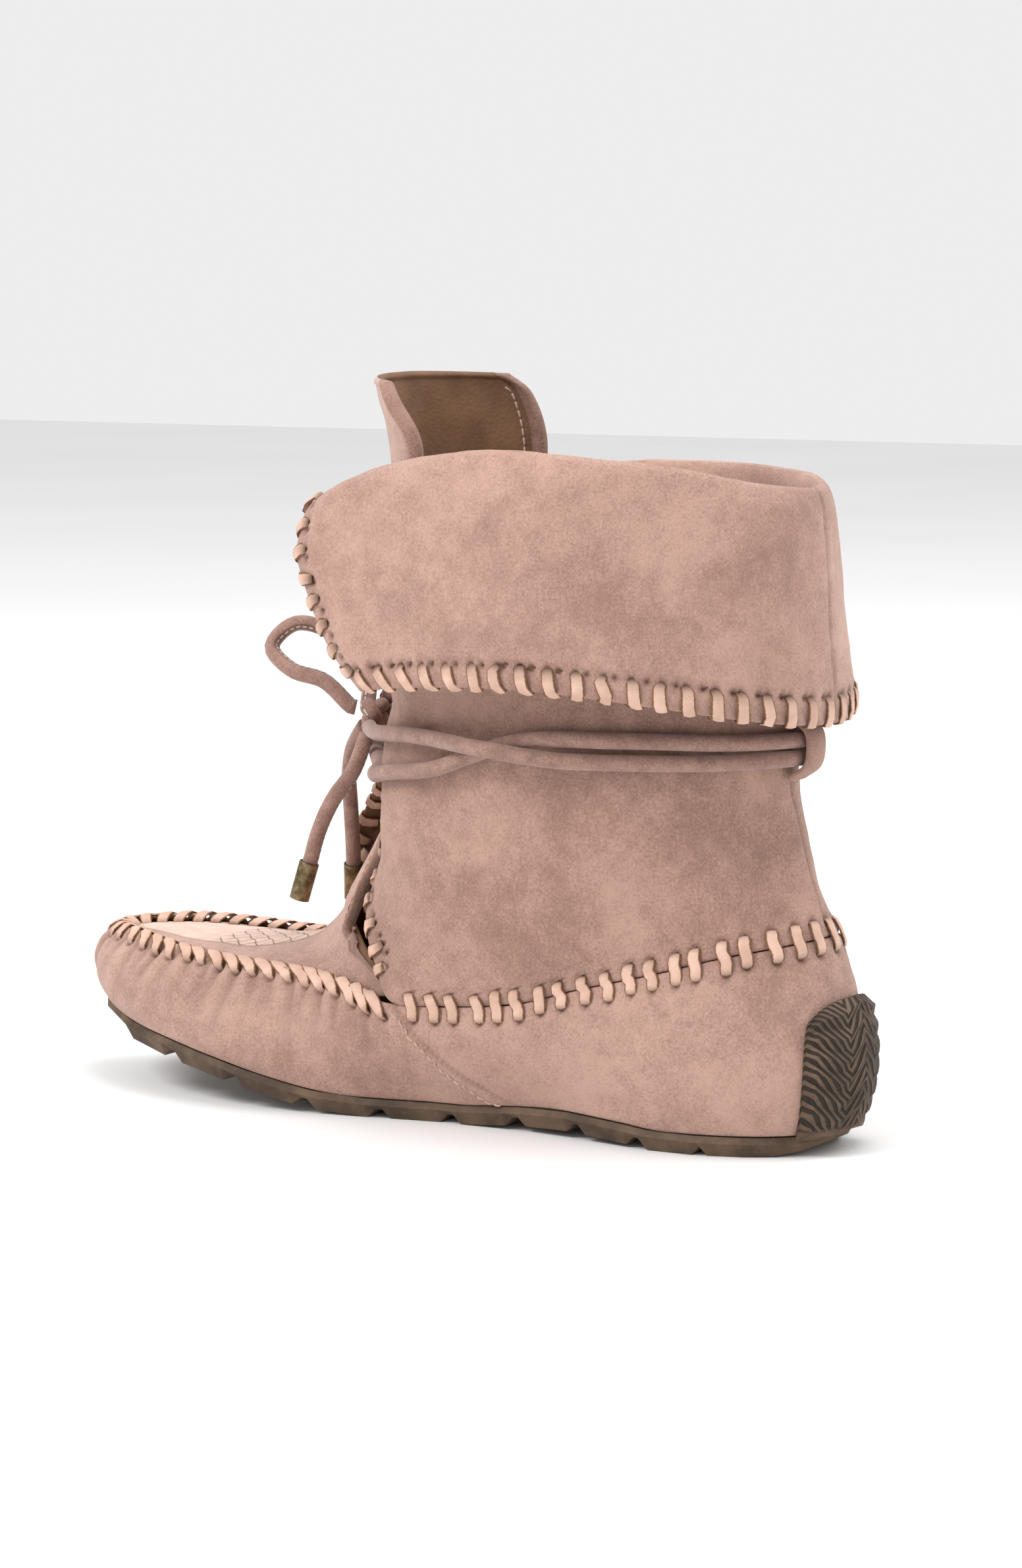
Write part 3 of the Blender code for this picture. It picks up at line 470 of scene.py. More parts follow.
def leatherMesh(name, leather, half, outerMove, innerMove, finishes, slotOf, shades):
    # two skins on both sides of the sheet, meeting in a rounded edge
    rows, columns = leather.grid.shape[:2]
    away = leather.edge()
    half = np.broadcast_to(half, away.shape)
    round_ = np.sqrt(np.clip(1 - (1 - np.clip(away / half, 0, 1)) ** 2, 0, 1))
    skins = [leather.grid + leather.normals * (half * round_ + outerMove)[..., None],
             leather.grid - leather.normals * (half * round_ + innerMove)[..., None]]
    count = rows * columns
    reach = columns if leather.closed else columns - 1
    i, j = np.meshgrid(np.arange(rows - 1), np.arange(reach), indexing="ij")
    right = (j + 1) % columns
    quads = np.stack([i * columns + j, i * columns + right, (i + 1) * columns + right, (i + 1) * columns + j], -1)
    quads = quads.reshape(-1, 4)
    faces = np.concatenate([quads, quads[:, ::-1] + count])
    vertices = np.concatenate([skin.reshape(-1, 3) for skin in skins])
    mesh = bpy.data.meshes.new(name)
    mesh.from_pydata(vertices.tolist(), [], faces.tolist())
    for finish in finishes:
        mesh.materials.append(finish)
    slots = np.concatenate([slotOf(i, j, 0).ravel(), slotOf(i, j, 1).ravel()]).astype(np.int32)
    mesh.polygons.foreach_set("material_index", slots)
    shade = mesh.attributes.new("shade", "FLOAT", "POINT")
    shade.data.foreach_set("value", np.concatenate([s.ravel() for s in shades]).astype(np.float32))
    across, along = leather.fromLeft, leather.fromFirst
    if leather.closed:
        across = np.broadcast_to(np.arange(columns) / columns * 0.56, away.shape)
    flat = np.stack([across, along], -1).reshape(-1, 2)
    layer = mesh.uv_layers.new(name="UVMap")
    layer.data.foreach_set("uv", np.concatenate([flat, flat])[faces.ravel()].ravel())
    form = bmesh.new()
    form.from_mesh(mesh)
    bmesh.ops.remove_doubles(form, verts=form.verts, dist=0.00002)
    bmesh.ops.recalc_face_normals(form, faces=form.faces)
    form.to_mesh(mesh)
    form.free()
    mesh.shade_smooth()
    piece = bpy.data.objects.new(name, mesh)
    scene.collection.objects.link(piece)
    return piece


def dimples(leather, holes, radius, depth):
    # how far the skin sinks at each hole, and how dark it gets there
    sink = np.zeros(leather.grid.shape[:2])
    flat = leather.grid.reshape(-1, 3)
    for hole in holes:
        gap = np.linalg.norm(flat - hole, axis=1).reshape(sink.shape)
        sink = np.maximum(sink, np.exp(-(gap / radius) ** 2))
    return sink * depth, 1.0 - np.clip(sink * 1.5 - 0.12, 0, 1)


# lace strips
lace = {"width": 0.0035, "thickness": 0.0010, "sides": 8, "steps": 9, "float": 0.00045}


def modelStrip():
    # one strip, upright along Z from 0 to 1, one unit wide and one thick
    bpy.ops.mesh.primitive_circle_add(vertices=lace["sides"], radius=0.54, fill_type="NGON", location=(0, 0, 0))
    strip = bpy.context.active_object
    strip.name = "laceStrip"
    bpy.ops.object.mode_set(mode="EDIT")
    for _ in range(lace["steps"]):
        bpy.ops.mesh.extrude_region_move(TRANSFORM_OT_translate={"value": (0, 0, 1 / lace["steps"])})
    bpy.ops.mesh.select_all(action="SELECT")
    bpy.ops.mesh.normals_make_consistent(inside=False)
    bpy.ops.object.mode_set(mode="OBJECT")
    strip.select_set(False)
    mesh = strip.data.copy()
    bpy.data.objects.remove(strip)
    return mesh


stripMesh = modelStrip()
stripShape = np.array([vertex.co for vertex in stripMesh.vertices])
stripFaces = [list(face.vertices) for face in stripMesh.polygons]


def laceRun(name, routes, width, thickness):
    # a copy of the strip bent along each route of (points, normals, across)
    vertices, faces, flat, shades = [], [], [], []
    for points, normals, across in routes:
        points, normals = np.array(points), unit(np.array(normals))
        places = lengthAlong(points)
        places = np.interp(stripShape[:, 2] * places[-1], places, np.arange(len(points)))
        middle = curveThrough(points, places)
        ahead = unit(curveThrough(points, np.minimum(places + 0.05, len(points) - 1))
                     - curveThrough(points, np.maximum(places - 0.05, 0)))
        up = unit(np.stack([np.interp(places, np.arange(len(points)), column) for column in normals.T], 1))
        side = unit(across - ahead * (ahead @ across)[:, None])
        up = unit(np.cross(ahead, side)) * np.sign((np.cross(ahead, side) * up).sum(1, keepdims=True) + 1e-9)
        narrow = 1 - 0.16 * (2 * np.abs(stripShape[:, 2:3] - 0.5)) ** 3
        crown = 1 - 0.35 * (2 * stripShape[:, :1]) ** 2
        first = len(vertices) and sum(len(v) for v in vertices)
        vertices.append(middle + side * stripShape[:, :1] * width * narrow
                        + up * stripShape[:, 1:2] * thickness * crown)
        faces += [[first + index for index in face] for face in stripFaces]
        flat.append(np.stack([stripShape[:, 0] + 0.5, stripShape[:, 2]], 1))
        shades.append(np.clip(np.minimum(stripShape[:, 2], 1 - stripShape[:, 2]) * 7.0 - 0.1, 0, 1))
    vertices, flat, shades = np.concatenate(vertices), np.concatenate(flat), np.concatenate(shades)
    mesh = bpy.data.meshes.new(name)
    mesh.from_pydata(vertices.tolist(), [], faces)
    mesh.materials.append(laceLeather)
    corners = np.array([index for face in faces for index in face])
    mesh.uv_layers.new(name="UVMap").data.foreach_set("uv", flat[corners].ravel())
    mesh.attributes.new("shade", "FLOAT", "POINT").data.foreach_set("value", shades.astype(np.float32))
    mesh.shade_smooth()
    mesh.set_sharp_from_angle(angle=math.radians(55))
    piece = bpy.data.objects.new(name, mesh)
    scene.collection.objects.link(piece)
    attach(piece, "root")
    return piece


def stations(points, pitch, start=0.0, stop=0.0):
    # fractional places along a line of points, a pitch apart
    length = lengthAlong(points)
    count = max(1, int(round((length[-1] - start - stop) / pitch)))
    marks = start + (np.arange(count) + 0.5) / count * (length[-1] - start - stop)
    return np.interp(marks, length, np.arange(len(points)))


def edgeRoute(leather, row, column, side, half, reach, slant):
    # a strip from a hole, round the sheet's edge and back to a hole on the other side
    def sample(distance, shift):
        if side in ("first", "last"):
            return leather.fromRow(int(np.clip(round(column + shift), 0, leather.grid.shape[1] - 1)),
                                   distance, side == "first")
        return leather.fromColumn(int(np.clip(round(row + shift), 0, leather.grid.shape[0] - 1)),
                                  distance, side == "left")
    edge, normal = sample(0.0, 0.0)
    inner, _ = sample(0.003, 0.0)
    out = unit(edge - inner)
    lift = half + lace["float"]
    points, normals = [], []
    for distance, share, level, sign in ((reach, 1.0, half - 0.0008, 1), (reach - 0.001, 0.8, lift, 1),
                                         (0.0012, 0.2, lift + 0.0002, 1), (0.0, 0.0, 0.0, 0),
                                         (0.0012, -0.2, lift + 0.0002, -1), (reach - 0.001, -0.8, lift, -1),
                                         (reach, -1.0, half - 0.0008, -1)):
        point, way = sample(distance, share * slant)
        if sign:
            points.append(point + way * level * sign)
            normals.append(way * sign)
        else:
            points.append(edge + out * (lace["thickness"] * 0.55 + 0.0002))
            normals.append(out)
    across = sample(0.0, 2.0)[0] - sample(0.0, -2.0)[0]
    return points, normals, unit(across)


# the wrap round the foot
gathers = {"pitch": 0.0062, "deep": 0.0013, "pillow": 0.0007, "reach": 0.0125, "lean": 0.10}
cornerTurn = math.acos(1 - 2 * wrap["corner"]) / (2 * math.pi)


def wrapSheet():
    turns = -np.arange(120) / 120
    rises = [0.0, 0.14, 0.30, 0.48, 0.66, 0.84, 1.0]
    coarse = np.array([[wrapPoint(turn, rise) for turn in turns] for rise in rises])
    grid = curveThrough(coarse, np.linspace(0, len(rises) - 1, 38))
    grid = curveThrough(grid.transpose(1, 0, 2), np.arange(640) * 120 / 640, closed=True).transpose(1, 0, 2)
    return Leather(withEdges(grid, True), True, (20, 0, (1, 0, 0)))


wrapLeather = wrapSheet()
wrapTurns = -np.arange(640) / 640
rim = wrapLeather.grid[-1]


def onApron():
    # weight 1 along the apron's gathers, 0 along the ankle seam
    u = (1 - np.cos(2 * np.pi * wrapTurns)) / 2
    return np.clip((u - wrap["corner"] - 0.012) / 0.03, 0, 1)


apronWeight = onApron()


# the tongue and the apron
apron = {"wall": 0.0018, "drop": 0.0022, "bead": 0.0021, "top": 0.207}
tongueTable = table(
    "midX midZ nearX nearY nearZ farX farY farZ",
    (-0.158, 0.284, -0.025, -0.368, 0.172, -0.025, 0.390, 0.172),
    (-0.150, 0.290, -0.091, -0.308, 0.219, -0.091, 0.330, 0.219),
    (-0.137, 0.317, -0.109, -0.268, 0.247, -0.109, 0.288, 0.247),
    (-0.125, 0.343, -0.106, -0.201, 0.292, -0.106, 0.220, 0.292),
    (-0.111, 0.380, -0.091, -0.136, 0.352, -0.091, 0.155, 0.352),
    (-0.083, 0.445, -0.046, -0.168, 0.435, -0.046, 0.190, 0.435),
    (-0.060, 0.512, -0.008, -0.200, 0.507, -0.008, 0.225, 0.507),
    (-0.055, 0.630, 0.006, -0.250, 0.628, 0.008, 0.275, 0.628),
    (-0.070, 0.773, 0.000, -0.313, 0.773, 0.017, 0.335, 0.773),
    (-0.087, 0.893, 0.000, -0.308, 0.893, 0.022, 0.340, 0.893),
    (-0.098, 0.970, -0.032, -0.300, 0.958, 0.004, 0.322, 0.968),
    (-0.103, 0.997, -0.052, -0.272, 0.988, -0.018, 0.280, 0.994))
apronTable = table(
    "u lead crown",
    (0.992, 0.006, 0.000), (0.965, 0.003, 0.006), (0.92, 0.004, 0.012), (0.86, 0.008, 0.020),
    (0.79, 0.014, 0.034), (0.72, 0.026, 0.056), (0.65, 0.046, 0.090), (0.59, 0.076, 0.155),
    (0.545, 0.100, 0.240))


def tongueSheet():
    rows = []
    for u, lead, crown in zip(apronTable["u"], apronTable["lead"], apronTable["crown"]):
        turn = math.acos(1 - 2 * u) / (2 * math.pi)
        ends = []
        for place in (turn, 1 - turn):
            inset = wrap["wall"] / 2 + wrap["gap"] + 0.0010
            point = seamPoint(place) - inset * levelOut(place, seamPoint)
            point[2] -= apron["drop"]
            ends.append(point)
        middle = (ends[0] + ends[1]) / 2 + np.array([-lead * sole["length"], 0.0, crown * sole["width"]])
        rows.append((ends[0], middle, ends[1]))
    scale = np.array([sole["length"], sole["width"], apron["top"]])
    t = tongueTable
    for k in range(len(t["midX"])):
        rows.append((np.array([t["nearX"][k], t["nearY"][k], t["nearZ"][k]]) * scale,
                     np.array([t["midX"][k], 0.0, t["midZ"][k]]) * scale,
                     np.array([t["farX"][k], t["farY"][k], t["farZ"][k]]) * scale))
    rows = np.array(rows)
    spots = np.arange(len(rows), dtype=float)
    fine = np.linspace(0, len(rows) - 1, 210)
    flat = rows.reshape(len(rows), -1)
    rows = np.stack([smoothRow(spots, column, fine) for column in flat.T], axis=1).reshape(-1, 3, 3)
    share = np.sin(np.linspace(-1, 1, 71) * math.pi / 2 * 0.93) / math.sin(math.pi / 2 * 0.93)
    near, middle, far = rows[:, 0, None], rows[:, 1, None], rows[:, 2, None]
    chord = (near + far) / 2 + (far - near) / 2 * share[None, :, None]
    grid = chord + (middle - (near + far) / 2) * (1 - np.abs(share[None, :, None]) ** 2.2)
    return Leather(withEdges(grid, False), False, (60, 36, (0, 0, 1)))


tongueLeather = tongueSheet()
tongueStart = int(round(len(apronTable["u"]) / (len(apronTable["u"]) + len(tongueTable["midX"])) * 214))


# the shaft and its cuff
shaft = {"wall": 0.0019, "height": 0.188, "width": 0.100, "flapColumns": (5, 6), "seamColumns": 26}
shaftTable = table(
    "nearX nearY nearZ sideX sideNear sideZ backX backZ sideFar farSideZ farX farY farZ point",
    (-0.060, -0.210, 0.425, 0.103, -0.390, 0.300, 0.440, 0.385, 0.400, 0.300, -0.203, 0.190, 0.428, 1.15),
    (-0.066, -0.170, 0.485, 0.116, -0.400, 0.435, 0.422, 0.480, 0.410, 0.435, -0.157, 0.110, 0.489, 1.25),
    (-0.082, -0.070, 0.565, 0.132, -0.410, 0.560, 0.414, 0.560, 0.420, 0.560, -0.124, 0.075, 0.570, 1.25),
    (-0.056, -0.155, 0.634, 0.140, -0.420, 0.632, 0.418, 0.628, 0.430, 0.632, -0.120, 0.085, 0.634, 1.25),
    (-0.066, -0.280, 0.762, 0.156, -0.445, 0.775, 0.422, 0.760, 0.455, 0.765, -0.114, 0.280, 0.755, 1.25),
    (-0.088, -0.365, 0.852, 0.164, -0.462, 0.905, 0.424, 0.862, 0.472, 0.885, -0.106, 0.380, 0.835, 1.25),
    (-0.090, -0.380, 0.888, 0.164, -0.470, 0.968, 0.426, 0.915, 0.480, 0.934, -0.106, 0.395, 0.868, 1.25),
    (-0.103, -0.410, 0.911, 0.166, -0.500, 0.996, 0.438, 0.942, 0.510, 0.962, -0.116, 0.420, 0.891, 1.25),
    (-0.111, -0.440, 0.888, 0.169, -0.535, 0.968, 0.448, 0.915, 0.545, 0.934, -0.120, 0.450, 0.868, 1.25),
    (-0.111, -0.470, 0.848, 0.172, -0.560, 0.895, 0.453, 0.850, 0.570, 0.865, -0.116, 0.480, 0.835, 1.20),
    (-0.093, -0.490, 0.790, 0.176, -0.575, 0.802, 0.457, 0.765, 0.585, 0.790, -0.098, 0.500, 0.780, 1.14),
    (-0.058, -0.500, 0.706, 0.180, -0.585, 0.734, 0.462, 0.688, 0.595, 0.730, -0.060, 0.510, 0.702, 1.08),
    (-0.016, -0.500, 0.649, 0.184, -0.580, 0.668, 0.466, 0.612, 0.590, 0.666, -0.018, 0.510, 0.647, 1.05))
flapCorners = (-0.060, -0.220, 0.372), (-0.252, 0.250, 0.348)
flapSags = (-0.0105, 0.0045, 0.0015), (-0.0040, 0.0020, -0.0040)
foldRow = 7.5                 # the coarse row on top of the fold


def shaftSection(row):
    scale = np.array([sole["length"], shaft["width"], shaft["height"]])
    points = []
    for quarter in range(4):
        near = quarter < 2
        side = row["sideNear"] if near else row["sideFar"]
        sideZ = row["sideZ"] if near else row["farSideZ"]
        edge = [row["nearX"], row["nearY"], row["nearZ"]] if near else [row["farX"], row["farY"], row["farZ"]]
        for step in np.linspace(0, 1, 24, endpoint=quarter == 3):
            angle = step * math.pi / 2
            sweep = angle if quarter in (1, 3) else math.pi / 2 - angle
            if quarter in (1, 2):
                x = row["sideX"] + (row["backX"] - row["sideX"]) * math.sin(sweep)
                y = side * abs(math.cos(sweep)) ** row["point"]
                z = sideZ + (row["backZ"] - sideZ) * math.sin(sweep) ** 2
            else:
                x = row["sideX"] + (edge[0] - row["sideX"]) * math.sin(sweep)
                y = edge[1] + (side - edge[1]) * math.cos(sweep)
                z = sideZ + (edge[2] - sideZ) * math.sin(sweep) ** 2
            points.append(np.array((x, y, z)) * scale)
    return np.array(points)


def shaftSheet():
    scale = np.array([sole["length"], shaft["width"], shaft["height"]])
    lift = np.array([0.0, 0.0, wrap["gap"]])
    seam = [seamPoint(turn) + lift for turn in np.linspace(cornerTurn, -cornerTurn, shaft["seamColumns"] + 1)]
    sides = []
    for corner, end, sag, count in zip(flapCorners, (seam[0], seam[-1]), flapSags, shaft["flapColumns"]):
        corner = np.array(corner) * scale
        sides.append([corner + (end - corner) * t + np.array(sag) * math.sin(math.pi * t)
                      for t in np.linspace(0, 1, count + 1)[:-1]])
    edge = np.array(sides[0] + seam + sides[1][::-1])
    shares = lengthAlong(edge)
    shares = shares / shares[-1]
    rows = [edge]
    for k in range(len(shaftTable["nearX"])):
        section = shaftSection({name: column[k] for name, column in shaftTable.items()})
        length = lengthAlong(section)
        rows.append(np.stack([np.interp(shares, length / length[-1], column) for column in section.T], axis=1))
    coarse = np.array(rows)
    spots = np.arange(len(coarse), dtype=float)
    flat = coarse.reshape(len(coarse), -1)

    def rowsAt(places):
        stacked = np.stack([smoothRow(spots, column, places) for column in flat.T], axis=1)
        return stacked.reshape(len(places), *coarse.shape[1:])
    trial = np.linspace(0, len(coarse) - 1, 400)
    length = lengthAlong(rowsAt(trial)).mean(axis=1)
    places = np.interp(np.linspace(0, length[-1], 138), length, trial)
    grid = rowsAt(places)
    grid = curveThrough(grid.transpose(1, 0, 2), np.linspace(0, coarse.shape[1] - 1, 260)).transpose(1, 0, 2)
    places = np.concatenate([places[:1], places[:1] + 1e-3, places[:1] + 2e-3, places[1:-1],
                             places[-1:] - 2e-3, places[-1:] - 1e-3, places[-1:]])
    return Leather(withEdges(grid, False), False, (30, 130, (1, 0, 0))), places


shaftLeather, shaftPlaces = shaftSheet()
seamFirst = int(round(shaft["flapColumns"][0] / 37 * 259)) + 2
seamLast = int(round((shaft["flapColumns"][0] + shaft["seamColumns"]) / 37 * 259)) + 2
foldAt = int(np.abs(shaftPlaces - foldRow).argmin())
print("sheets are laid out")


# whip stitching
def apronRoutes():
    # over the wrap's gathered edge and down to the apron, leaning towards the heel
    wanted = np.where(apronWeight > 0.02)[0]
    line = rim[wanted]
    routes, marks = [], []
    half = wrap["wall"] / 2
    inward = unit(np.array([levelOut(turn, seamPoint) for turn in wrapTurns[wanted]])) * -1
    for place in stations(line, gathers["pitch"], 0.002, 0.002):
        k = int(round(place))
        toHeel = 1 if line[k][1] < 0 else -1      # the columns run the other way on the far side
        column = wanted[k]
        shift = 5 * toHeel * (-1 if wrapTurns[(column + 3) % 640] < wrapTurns[column] else 1)
        lowColumn = (column - shift) % 640
        low, lowNormal = wrapLeather.fromRow(lowColumn, 0.0046, False)
        mid, midNormal = wrapLeather.fromRow((column - shift // 2) % 640, 0.0014, False)
        lean = (rim[(column + shift) % 640] - rim[column]) * 0.8
        top = rim[column] + np.array([0.0, 0.0, lace["thickness"] * 0.55 + 0.0004])
        target = line[k] + inward[k] * 0.0042 + lean
        r, c = tongueLeather.nearest(target - np.array([0, 0, apron["drop"]]))
        inside, insideNormal = tongueLeather.grid[r, c], tongueLeather.normals[r, c]
        lift = half + lace["float"] + 0.0002
        points = [low - lowNormal * 0.0004 + (low - mid) * 0.12, low + (mid - low) * 0.22 + lowNormal * lift,
                  mid + midNormal * (lift + 0.0001), top + lean * 0.3,
                  inside + insideNormal * lift - inward[k] * 0.0006, inside + insideNormal * 0.0002 + inward[k] * 0.0008]
        normals = [lowNormal, lowNormal, midNormal, np.array([0, 0, 1.0]), insideNormal, insideNormal]
        across = unit(line[min(k + 1, len(line) - 1)] - line[max(k - 1, 0)])
        routes.append((points, normals, across))
        marks.append((k, wanted[k], low, inside + inward[k] * 0.0008))
    return routes, marks


def ankleRoutes():
    line = shaftLeather.grid[0, seamFirst:seamLast + 1]
    half = shaft["wall"] / 2
    routes, holesUp, holesDown = [], [], []
    for place in stations(line, 0.0068, 0.0015, 0.0015):
        column = seamFirst + int(round(place))
        lean = 1
        up, upNormal = shaftLeather.fromRow(min(column - lean, seamLast), 0.0048, True)
        upMid, upMidNormal = shaftLeather.fromRow(column, 0.0014, True)
        ahead = shaftLeather.grid[0, min(column + lean, 259)]
        down = (wrapLeather.nearest(ahead)[1])
        low, lowNormal = wrapLeather.fromRow(down, 0.0042, False)
        lowMid, lowMidNormal = wrapLeather.fromRow(down, 0.0012, False)
        lift = half + lace["float"]
        points = [up + upNormal * (half - 0.0008), up + (upMid - up) * 0.26 + upNormal * lift,
                  upMid + upMidNormal * (lift + 0.0003), lowMid + lowMidNormal * (lift + 0.0003),
                  low + (lowMid - low) * 0.26 + lowNormal * lift, low + lowNormal * (half - 0.0008)]
        normals = [upNormal, upNormal, upMidNormal, lowMidNormal, lowNormal, lowNormal]
        across = unit(shaftLeather.grid[0, min(column + 2, 259)] - shaftLeather.grid[0, column - 2])
        routes.append((points, normals, across))
        holesUp.append(up)
        holesDown.append(low)
    return routes, holesUp, holesDown


def edgeRoutes(side, first, last_, pitch, reach, slant, half, row=None, column=None):
    routes, holes = [], []
    if side in ("first", "last"):
        index = 0 if side == "first" else -1
        line = shaftLeather.grid[index, first:last_ + 1]
    else:
        index = 0 if side == "left" else -1
        line = shaftLeather.grid[first:last_ + 1, index]
    for place in stations(line, pitch, 0.002, 0.002):
        at = first + place
        if side in ("first", "last"):
            route = edgeRoute(shaftLeather, 0, at, side, half, reach, slant)
        else:
            route = edgeRoute(shaftLeather, at, 0, side, half, reach, slant)
        routes.append(route)
        holes += [route[0][0], route[0][-1]]
    return routes, holes


apronLaces, gatherMarks = apronRoutes()
ankleLaces, ankleUp, ankleDown = ankleRoutes()
shaftHalf = shaft["wall"] / 2
columnsAll = shaftLeather.grid.shape[1]
rowsAll = shaftLeather.grid.shape[0]
cuffLaces, cuffHoles = edgeRoutes("last", 3, columnsAll - 4, 0.0074, 0.0072, -1.4, shaftHalf)
nearFront, nearHoles = edgeRoutes("left", 3, rowsAll - 4, 0.0070, 0.0058, 0.9, shaftHalf)
farFront, farHoles = edgeRoutes("right", 3, rowsAll - 4, 0.0070, 0.0058, -0.9, shaftHalf)
nearFlap, nearFlapHoles = edgeRoutes("first", 2, seamFirst - 3, 0.0068, 0.0052, 0.9, shaftHalf)
farFlap, farFlapHoles = edgeRoutes("first", seamLast + 3, columnsAll - 3, 0.0068, 0.0052, 0.9, shaftHalf)
laceRun("apronLace", apronLaces, lace["width"] * 0.95, lace["thickness"])
laceRun("ankleLace", ankleLaces, lace["width"] * 0.95, lace["thickness"])
laceRun("cuffLace", cuffLaces, lace["width"], lace["thickness"])
laceRun("frontLace", nearFront + farFront, lace["width"], lace["thickness"])
laceRun("flapLace", nearFlap + farFlap, lace["width"], lace["thickness"])
print("lace strips are threaded")


# skins
def buildWrap():
    rows, columns = wrapLeather.grid.shape[:2]
    below = wrapLeather.fromLast
    marks = sorted(mark[1] for mark in gatherMarks)
    line = lengthAlong(np.concatenate([rim, rim[:1]]))[:columns]
    phase = np.zeros((rows, columns))
    strength = np.zeros(columns)
    chance = np.random.default_rng(4)
    jitter = {mark: chance.uniform(0.75, 1.25) for mark in marks}
    creases = np.zeros((rows, columns))
    for number, mark in enumerate(marks):
        gap = line - line[mark]
        total = lengthAlong(np.concatenate([rim, rim[:1]]))[-1]
        gap = (gap + total / 2) % total - total / 2
        toHeel = 1.0 if rim[mark][1] < 0 else -1.0
        drift = chance.uniform(-0.25, 0.35) * toHeel
        path = gap[None, :] + drift * below * 0.6
        wide = 0.0009 + below * 0.085
        size = jitter[mark] * np.exp(-(below / (gathers["reach"] * jitter[mark])) ** 1.6)
        creases = np.maximum(creases, size * np.exp(-(np.abs(path) / wide) ** 1.5))
    weight = apronWeight[None, :]
    swell = np.exp(-((below - 0.003) / 0.007) ** 2) * weight
    outer = -creases * gathers["deep"] * weight + swell * gathers["pillow"]
    outer += softNoise(wrapLeather.grid, 0.030, 3) * 0.00030 + softNoise(wrapLeather.grid, 0.009, 5) * 0.00010
    # a stitched seam down the near side, from the ankle seam's end to the sole
    seamTop, seamFoot = 0.2465, 0.203
    turnHere = (-wrapTurns)[None, :] * 0 + (wrapTurns % 1.0)[None, :]
    rise = wrapLeather.fromFirst / wrapLeather.fromFirst[-1]
    seamTurn = seamFoot + (seamTop - seamFoot) * rise ** 0.8
    speed = 0.56
    aside = (turnHere - seamTurn) * speed
    outer += 0.00055 * np.clip((aside + 0.0004) / 0.0008, 0, 1) * np.exp(-np.clip(aside, 0, 1) / 0.006)
    groove = np.exp(-(aside / 0.0007) ** 2)
    outer -= 0.0005 * groove
    sink, dark = dimples(wrapLeather, [mark[2] for mark in gatherMarks] + ankleDown, 0.0011, 0.0011)
    shadeOut = dark * (1 - 0.55 * np.clip(creases * weight, 0, 1)) * (1 - 0.4 * groove)
    edgeFade = np.clip(wrapLeather.fromFirst / 0.004, 0, 1)
    outer = outer * edgeFade - sink
    inner = -outer * 0.6
    piece = leatherMesh("wrapSkin", wrapLeather, wrap["wall"] / 2, outer, inner, [suedeLower, lining],
                        lambda i, j, skin: np.full(i.shape, skin), (shadeOut, np.ones_like(shadeOut)))
    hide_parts("upper")
    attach(piece, "root")
    path = []
    for share in np.linspace(0.04, 0.90, 26):
        turn = seamFoot + (seamTop - seamFoot) * share ** 0.8 + 0.0045
        column = int(round(-(turn - 1) * 640)) % 640
        row = int(round(share * (rows - 1)))
        path.append((wrapLeather.grid[row, column] + wrapLeather.normals[row, column] * (0.0009 + outer[row, column]),
                     wrapLeather.normals[row, column]))
    return path


sideSeam = buildWrap()


def buildTongue():
    grid = tongueLeather.grid
    rows, columns = grid.shape[:2]
    side = np.minimum(tongueLeather.fromLeft, tongueLeather.fromRight)
    rowShare = np.arange(rows)[:, None]
    onTongue = np.clip((rowShare - tongueStart) / 5.0, 0, 1)
    bead = np.sqrt(np.clip(apron["bead"] ** 2 - (side - apron["bead"]) ** 2, 0, None))
    half = np.maximum(apron["wall"] / 2, bead * onTongue)
    topBead = np.sqrt(np.clip(0.0014 ** 2 - (tongueLeather.fromLast - 0.0014) ** 2, 0, None))
    half = np.maximum(half, topBead)
    outer = softNoise(grid, 0.034, 11) * 0.00035 + softNoise(grid, 0.010, 12) * 0.00012
    groove = np.exp(-((side - 0.0048) / 0.0005) ** 2) * onTongue
    sink, dark = dimples(tongueLeather, [mark[3] for mark in gatherMarks], 0.0012, 0.0009)
    outer = outer * np.clip(side / 0.004, 0, 1) - sink - groove * 0.0004
    inner = -outer * 0.5 - groove * 0.0004

    def slotOf(i, j, skin):
        if skin == 0:
            return np.where((side[i, j] < 0.0046) & (i > tongueStart + 1), 1, 0)
        return np.where((side[i, j] < 0.0046) & (i > tongueStart + 1), 1, 2)
    shadeOut = dark * (1 - 0.5 * groove)
    piece = leatherMesh("tongueSkin", tongueLeather, half, outer, inner, [apronSuede, suedeEdge, lining],
                        slotOf, (shadeOut, 1 - 0.4 * groove))
    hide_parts("apron_tongue")
    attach(piece, "root")


